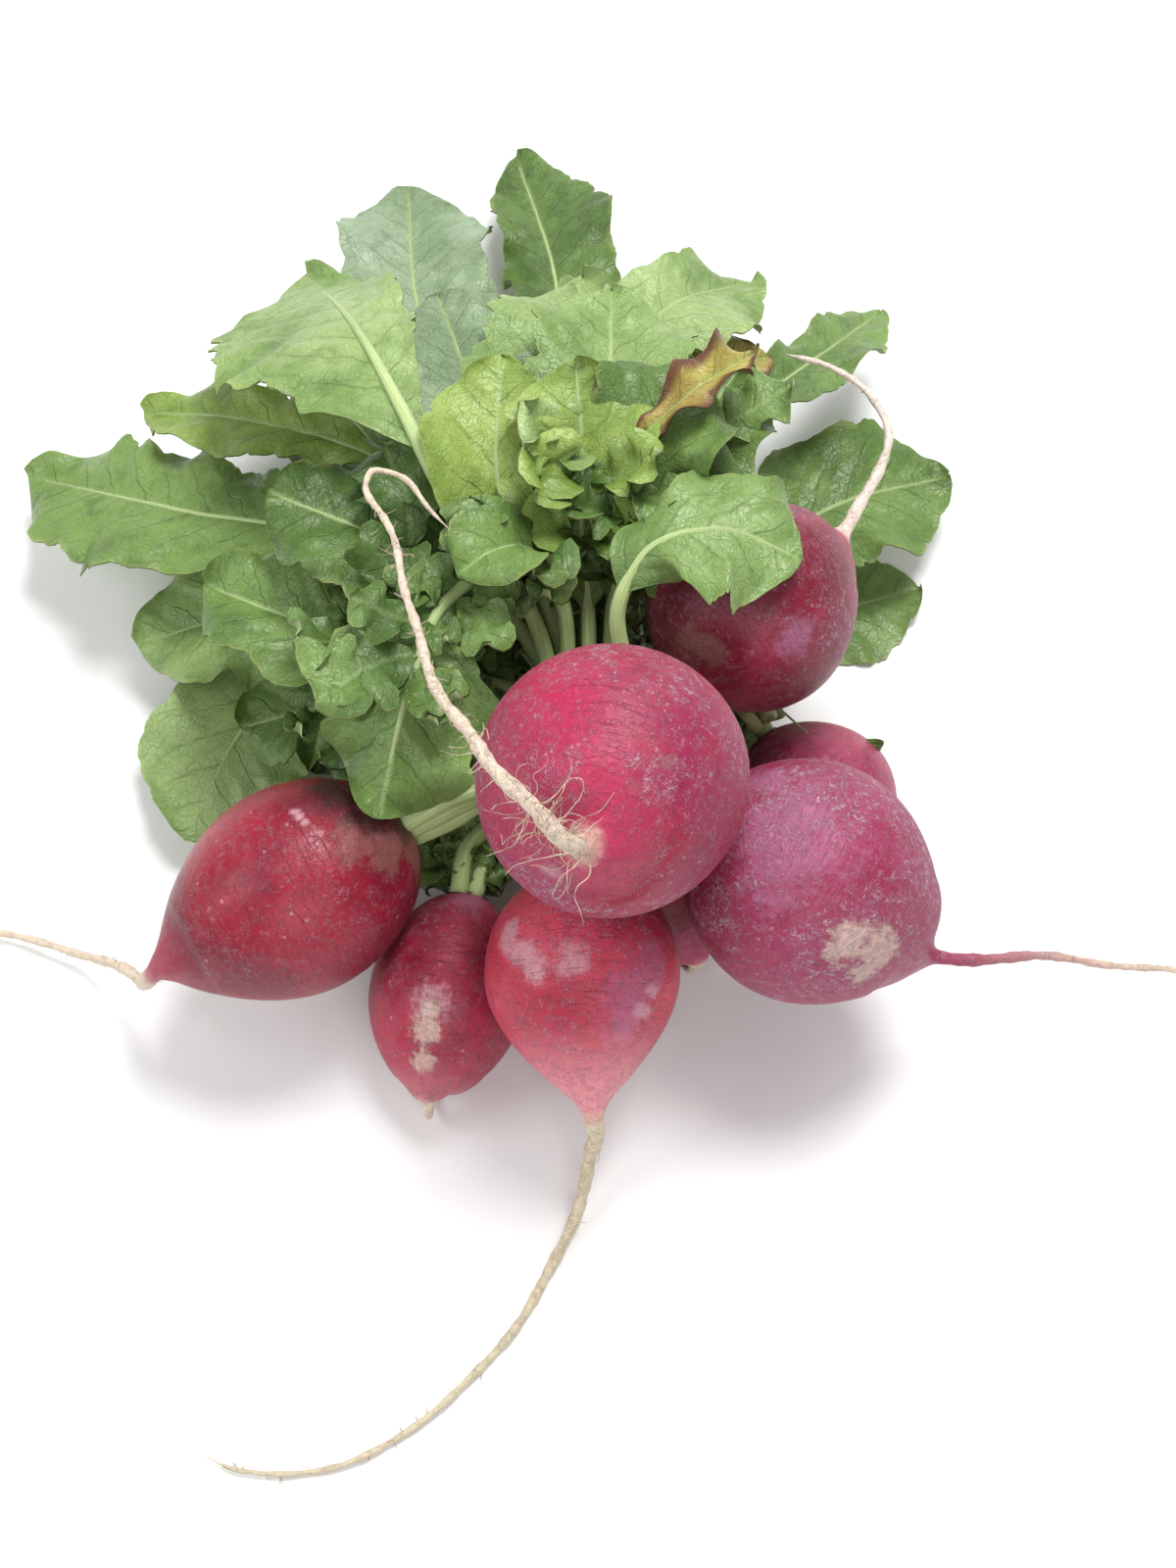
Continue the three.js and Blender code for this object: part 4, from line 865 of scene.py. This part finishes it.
def blade_shell(route, length, widths, lobes, cut, fold, wave, flip, seed, rows=96, columns=35):
    """Rings round a blade at the end of a route: its upper face from left to right, then its lower
    face back. Fields tell the finish where it is on the blade."""
    rng = np.random.default_rng(seed)
    phase = rng.uniform(0, 6.28, 9)
    share = np.linspace(0, 1, rows)
    q = np.linspace(-1, 1, columns)
    t = np.sign(q) * np.abs(q) ** 1.2
    distance = route.length - length + length * share
    centre, along = route.at(distance), route.direction(distance)
    side = unit(np.cross(along, [0, 0, 1]))
    up = np.cross(side, along)
    half = np.stack([blade_reach(share, k, length, widths, lobes, cut, phase[8] + k) for k in (0, 1)], 0)
    narrow = np.interp(share, [0, 0.06, 0.9, 1], [0.9, 1.2, 1.0, 0.2]) * min(1, max(widths) / 8)
    half = np.maximum(half, narrow)
    row_half = np.where(t[None, :] < 0, half[0][:, None], half[1][:, None])
    is_right = (t > 0).astype(float)[None, :]
    s, edge = share[:, None], np.abs(t)[None, :]
    across = t * row_half
    ripple = np.sin(2 * np.pi * (s * lobes + 0.3 * is_right))
    frill = np.sin(s * length / 2.1 + phase[1] + 2.4 * is_right + 1.5 * np.sin(s * length / 9 + phase[2]))
    small = np.sin(s * length / 0.95 + phase[3] + 2 * edge + 1.1 * is_right)
    billow = np.sin(s * length / 5.2 + phase[4] + 0.12 * across) * np.cos(across / 4.1 + phase[5] + s * 3)
    slanted = s * length / 2.7 - 0.9 * edge * row_half + phase[6] + 2 * is_right
    crease = np.sin(slanted) * np.cos(across / 2.3 + phase[7])
    rib_line = s * length - 0.85 * edge * row_half - 0.012 * (edge * row_half) ** 2
    rib_phase = rib_line / RIB_SPACING + 0.5 * is_right
    pucker = np.abs(np.sin(np.pi * rib_phase)) ** 0.7 * np.sin(np.pi * np.clip(edge * 1.05, 0, 1)) ** 0.8
    size = min(1, max(widths) / 12)
    eased = smoothstep(0, 0.25, s) * size
    lift = fold * edge * row_half + wave * edge**2 * ripple * smoothstep(0, 0.3, s)
    sweep = np.sin(2 * np.pi * (s * (0.8 + 0.4 * np.sin(phase[0])) + 0.2 * is_right) + phase[3])
    lift = lift + 0.16 * edge**1.6 * row_half * sweep * smoothstep(0.05, 0.35, s)
    lift = lift + (0.4 * wave + 0.35) * edge**2.6 * frill * eased + 0.3 * edge**5 * small * eased
    lift = lift + 0.75 * billow * edge * eased + 0.28 * crease * np.sqrt(edge) * eased
    lift = lift + 0.55 * (pucker - 0.5) * smoothstep(0.02, 0.2, s) * size * (-1 if flip else 1)
    middle = centre[:, None] + side[:, None] * across[..., None]
    middle = middle + along[:, None] * (0.12 * edge * row_half * (1 - s))[..., None]
    middle = middle + up[:, None] * lift[..., None]
    upper, lower = middle + up[:, None] * BLADE_HALF, middle - up[:, None] * BLADE_HALF
    upper[..., 2] = np.maximum(upper[..., 2], UPPER_LEAST_HEIGHT)
    lower[..., 2] = np.maximum(lower[..., 2], LOWER_LEAST_HEIGHT)
    rings = np.concatenate([upper, lower[:, ::-1]], 1)
    tone = rng.uniform(0, 1)
    map_row = np.stack([s * length / CM + 0 * edge, across / CM, tone + 0 * (s + edge)], -1)
    leaf_map = np.concatenate([map_row, map_row[:, ::-1]], 1)
    rim = np.concatenate([edge + 0 * s, (edge + 0 * s)[:, ::-1]], 1)
    under = np.zeros((rows, columns))
    fields = {"leaf_map": leaf_map, "rim": rim, "below": np.concatenate([under, under + 1], 1)}
    return rings, fields, 0, (0, columns - 1, columns, 2 * columns - 1)


STALK_SIDES, STALK_STEP, STALK_LEAST_HEIGHT = 12, 1.2, 0.03
MIDRIB_RINGS, MIDRIB_END, MIDRIB_TIP = 60, 0.96, 0.16


def stalk_shell(route, length, flip, thick=STALK_RADIUS, foot=None):
    """Rings round a stalk, which runs on under the blade as its midrib."""
    start = route.length - length
    midrib = start + length * np.linspace(0, MIDRIB_END, MIDRIB_RINGS)
    distance = np.r_[np.arange(0, start, STALK_STEP), midrib]
    line, way = route.at(distance), route.direction(distance)
    if foot is not None:
        line = line + (foot - line[0]) * (1 - smoothstep(0, FOOT_REACH, distance))[:, None]
    share = np.clip((distance - start) / length, 0, 1)
    taper = thick - STALK_TAPER * distance / max(start, 1)
    thinned = MIDRIB_TIP + (thick - STALK_TAPER - MIDRIB_TIP) * (1 - share) ** 1.35
    radius = np.where(distance < start, taper, thinned)
    level = unit(np.cross(way, [0, 0, 1]))
    sunk = radius * smoothstep(-5, 7, distance - start) * (0.45 if flip else -0.88)
    line = line + np.cross(level, way) * sunk[:, None]
    angle = 2 * np.pi * np.arange(STALK_SIDES) / STALK_SIDES
    sizes = radius[:, None] * (1 + 0.05 * np.cos(5 * angle))
    rings = tube_rings(line, way, sizes, angle, np.array([1.0, 0.01, 0.02]), STALK_LEAST_HEIGHT)
    return rings, tube_fields(angle, distance, share), 1, ()


LEAFLET_GRID, LEAFLET_SPACING, BLADE_SHARE, BLADE_SEED, LEAFLET_SEED = (20, 9), 5.2, 0.97, 300, 500


def leaflet_shells(route, spots, sizes, seed):
    """Small ruffled leaflets that stand in pairs on a stalk, at these distances from the crown."""
    rng = np.random.default_rng(seed)
    shells = []
    for spot, size in zip(spots, sizes):
        for hand in (-1, 1):
            length = size * rng.uniform(0.6, 1.3)
            base, along = route.at(spot + rng.uniform(-1.5, 1.5)), route.direction(spot)
            side = unit(np.cross(along, [0, 0, 1])) * hand
            up = np.cross(side, along) * hand
            apart, ahead, lifted = rng.uniform(0.5, 0.95), rng.uniform(-0.1, 0.9), rng.uniform(0.05, 0.75)
            way = unit(side * apart + along * ahead + up * lifted)
            bend = up * rng.uniform(-0.55, 0.15) * length + along * rng.uniform(-0.2, 0.3) * length
            line = Route([base, base + way * length * 0.5, base + way * length + bend], 16)
            wide = length * rng.uniform(0.36, 0.56)
            widths, fold = (wide, wide * rng.uniform(0.7, 1.1)), rng.uniform(-0.25, 0.6)
            own = seed * 7 + len(shells)
            blade = line.length * BLADE_SHARE
            shells.append(blade_shell(line, blade, widths, 3, 0.38, fold, 1.8, False, own, *LEAFLET_GRID))
    return shells


LEAF_GREENS = {
    "mid": ((0.09, 0.165, 0.033), (0.18, 0.285, 0.075), (0.27, 0.37, 0.15), (0.035, 0.08, 0.015)),
    "dark": ((0.06, 0.118, 0.022), (0.125, 0.21, 0.045), (0.22, 0.31, 0.12), (0.022, 0.052, 0.01)),
    "light": ((0.18, 0.29, 0.08), (0.31, 0.42, 0.16), (0.38, 0.48, 0.22), (0.08, 0.16, 0.03)),
    "grey": ((0.2, 0.29, 0.155), (0.32, 0.41, 0.27), (0.38, 0.46, 0.3), (0.09, 0.15, 0.06)),
    "yellow": ((0.16, 0.26, 0.04), (0.28, 0.38, 0.09), (0.33, 0.42, 0.13), (0.07, 0.13, 0.015)),
    "fresh": ((0.13, 0.22, 0.055), (0.24, 0.35, 0.115), (0.34, 0.45, 0.19), (0.055, 0.12, 0.022)),
    "dry": ((0.36, 0.3, 0.06), (0.44, 0.4, 0.13), (0.4, 0.34, 0.1), (0.2, 0.11, 0.03)),
}


def leaf_finish(name):
    """Leaf blade: a soft satin green with a faint net of pale veins, paler and duller below. Its upper face
    carries painted shade towards the stalk.
    """
    shade, light, under, deep = LEAF_GREENS[name]
    wire, shader, made = material("blade_" + name)
    place, leaf_map = wire.place(), wire.field("leaf_map", 1)
    rim, below = wire.field("rim"), wire.field("below")
    split = wire.add("ShaderNodeSeparateXYZ", None, {0: leaf_map})
    along, across, tone = (Wire(wire.tree, output) for output in split.socket.node.outputs)
    drift = wire.grain(leaf_map, 1.7, 2) - 0.5
    out = across.size()
    right = across.math("GREATER_THAN", across, 0.0)
    phase = (along + drift * 0.5 - out * 0.85 - out * out * 0.12) * (CM / RIB_SPACING) + right * 0.5
    phase = phase.math("FRACT", phase) - 0.5
    side_vein = phase.size().rise(0.05, 0.012) * rim.rise(1.0, 0.3)
    midrib = out.rise(0.07, 0.02)
    swirl = wire.add("ShaderNodeTexNoise", None, {"Vector": leaf_map, "Scale": 3.5}, out=1)
    bending = {0: swirl, 1: (0.5, 0.5, 0), 2: leaf_map}
    bent = wire.add("ShaderNodeVectorMath", {"operation": "MULTIPLY_ADD"}, bending)
    net = wire.cells(bent, 3.4, "DISTANCE_TO_EDGE", True).rise(0.05, 0.005)
    small_net = wire.cells(bent, 9, "DISTANCE_TO_EDGE", True).rise(0.08, 0.01)
    clouds = wire.grain(place, 38, 4, 0.6).rise(0.38, 0.62)
    mottle = wire.grain(place, 170, 4, 0.65)
    fine = wire.grain(place, 760, 4, 0.7)
    upper = (clouds * 0.6 + tone * 0.4).tint(shade, light)
    upper = (mottle.rise(0.5, 0.3) * 0.4 + clouds.rise(0.3, 0.0) * 0.25).tint(upper, deep)
    upper = (fine.rise(0.5, 0.75) * 0.25).tint(upper, light)
    upper = (small_net * 0.06).tint(upper, deep)
    upper = (net * 0.05).tint(upper, deep)
    upper = (side_vein * 0.27).tint(upper, deep)
    upper = (midrib * 0.35).tint(upper, (0.3, 0.41, 0.16))
    # Painted shade: the upper face darkens towards the stalk over the first 18 mm of the blade.
    upper = (along.rise(1.8, 0.0) * 0.45).tint(upper, deep)
    lower = (clouds * 0.5 + tone * 0.2).tint(under, light)
    lower = (mottle.rise(0.5, 0.3) * 0.25).tint(lower, shade)
    lower = (small_net * 0.15).tint(lower, (0.44, 0.55, 0.3))
    lower = (side_vein * 0.6 + net * 0.2).tint(lower, (0.46, 0.57, 0.3))
    lower = (midrib * 0.8).tint(lower, (0.5, 0.6, 0.33))
    colour = below.rise(0.35, 0.65).tint(upper, lower)
    if name == "dry":
        worn = (rim + (wire.grain(place, 90, 4) - 0.5) * 1.1).rise(0.45, 0.9)
        colour = worn.tint(colour, (0.13, 0.055, 0.025))
    else:
        worn = (rim + (wire.grain(place, 130, 2) - 0.5) * 0.35).rise(0.93, 1.06)
        colour = (worn * 0.4).tint(colour, (0.36, 0.4, 0.14))
    height = mottle * 0.8 - side_vein * 0.28 - net * 0.12 - small_net * 0.1 + fine * 0.3
    height = height * (1 - below * 1.8)
    feed(
        shader,
        Base_Color=colour,
        Roughness=0.28 + 0.22 * fine + 0.16 * below,
        Specular_IOR_Level=0.42,
        Normal=relief(wire, height, 0.0006, 0.9),
    )
    return made


def stalk_finish():
    """Leaf stalk: pale, juicy green with fine lines along it, whitish where it leaves the crown."""
    wire, shader, made = material("leaf_stalk")
    place, stage = wire.place(), wire.field("stage")
    lines = wire.grain(wire.field("turned", 1).stretched((4, 4, 0.5)), 1.5, 3).rise(0.35, 0.65)
    clouds = wire.grain(place, 60, 3).rise(0.35, 0.65)
    colour = lines.tint((0.42, 0.54, 0.2), (0.58, 0.68, 0.36))
    colour = (clouds * 0.35).tint(colour, (0.27, 0.4, 0.11))
    specks = wire.cells(place, 420).rise(0.16, 0.08)
    colour = (specks * 0.35).tint(colour, (0.56, 0.62, 0.4))
    colour = (stage.rise(0.05, 0.5) * 0.5).tint(colour, (0.34, 0.45, 0.19))
    feed(
        shader,
        Base_Color=colour,
        Roughness=0.36 + 0.15 * lines,
        Specular_IOR_Level=0.45,
        Normal=relief(wire, lines * 0.6 + specks * 0.4, 0.00018, 0.7),
    )
    return made


leaf_finishes = {name: leaf_finish(name) for name in LEAF_GREENS}
stalk_green = stalk_finish()
NO_LEAFLETS = ("leaf_upper_left_pale", "leaf_over_upright", "leaf_table_left", "leaf_table_back")
CROWN_LEAFLETS = {"root_behind": (6, 20, 4.5), "root_front_left": (1.5, 20, 3)}
RUFFLED = {
    "leaf_hanging": (0.62, 12), "leaf_left_dark": (0.6, 14), "leaf_middle_top": (0.6, 13),
    "leaf_right_top": (0.5, 10), "leaf_right_ruffled": (0.7, 14), "leaf_beside_left": (0.6, 12),
    "leaf_small_folded": (0.25, 9), "leaf_left_curled": (0.45, 12), "leaf_centre_back": (0.4, 13),
    "leaf_left_second": (0.35, 13), "leaf_back_middle": (0.35, 14), "leaf_back_left_mid": (0.3, 12),
    "leaf_centre_pale": (0.3, 12),
}
for count, leaf in enumerate(LEAVES):
    name, grows_from, slot, flip, shade, _, length, widths, lobes, cut, fold, wave = leaf
    route, foot = leaf_route(leaf)
    shells = [
        blade_shell(route, length, widths, lobes, cut, fold, wave, flip, BLADE_SEED + count),
        stalk_shell(route, length, flip, foot=foot),
    ]
    if name not in NO_LEAFLETS:
        share, size = RUFFLED.get(name, (0.0, 8.5))
        bare = route.length - length
        first = bare * 0.5
        if slot:
            first = route.marks[3] + (7 if slot[1] < 5 else 15)
        spots = np.arange(first, bare + share * length, LEAFLET_SPACING)
        if grows_from in CROWN_LEAFLETS:
            spots = np.r_[np.arange(*CROWN_LEAFLETS[grows_from]), spots]
        sizes = np.linspace(size * 0.8, size * 1.25, len(spots))
        shells += leaflet_shells(route, spots, sizes, LEAFLET_SEED + count)
    if name == "leaf_dry_yellow":
        curled = Route([(4, 39, 50), (9, 45, 62), (16, 51, 65), (26.5, 60.5, 63)], 24)
        blade = curled.length * 0.7
        shells.append(blade_shell(curled, blade, (5, 5.6), 3, 0.34, 0.7, 2.4, False, 91, 80, 31))
        shells.append(stalk_shell(curled, blade, False, 1.1))
    stand_in(name, closed_skins(name + "_leaf", shells, [leaf_finishes[shade], stalk_green]))


# The crown of the radish behind still carries the stubs of stalks that broke off. A scrap of leaf
# lies on its side, and a thin dark strip of stem arches over it.
STUBS = [(-3.6, 2.6, 5.5, 1.5), (-1.2, 4.6, 6.5, 1.3), (1.8, 4.2, 4.5, 1.6), (4.2, 2, 5, 1.2)]
crown, tip = bulb_ends(root_named("root_behind"))
outward = unit(crown - tip)
stubs = []
for lean, lift, tall, thick in STUBS:
    foot = crown + np.cross(outward, [0, 0, 1]) * lean + np.array([0, 0, lift])
    top = foot + outward * tall + np.array([0.3 * lean, 0.2 * lean, 0.5 * tall])
    stubs.append(stalk_shell(Route([foot, (foot + top) / 2, top], 12), 0.4, False, thick))
scrap = Route([(41.5, 13.5, 19.5), (45, 12.5, 19.8), (48.5, 10, 17.4)], 16)
blade = scrap.length * BLADE_SHARE
stubs.append(blade_shell(scrap, blade, (2.8, 2.2), 2, 0.2, 0.3, 1.4, False, 77, 30, 17))
wire, shader, stub_green = material("cut_stalk")
mottle = wire.grain(wire.place(), 350, 4).rise(0.35, 0.65)
feed(shader, Base_Color=mottle.tint((0.42, 0.45, 0.2), (0.17, 0.2, 0.07)), Roughness=0.55)
cut_stalks = put("cut_stalks", closed_skins("cut_stalks", stubs, [leaf_finishes["dark"], stub_green]))
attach(cut_stalks, "root")
arch = Route([(19, 9.5, 33), (22, 14.4, 30.6), (27, 17.4, 31), (32, 14.6, 27.6), (36, 11.5, 26)], 8)
threads_piece("stem_strip", [arch.line], [0.35], stub_green, 6)
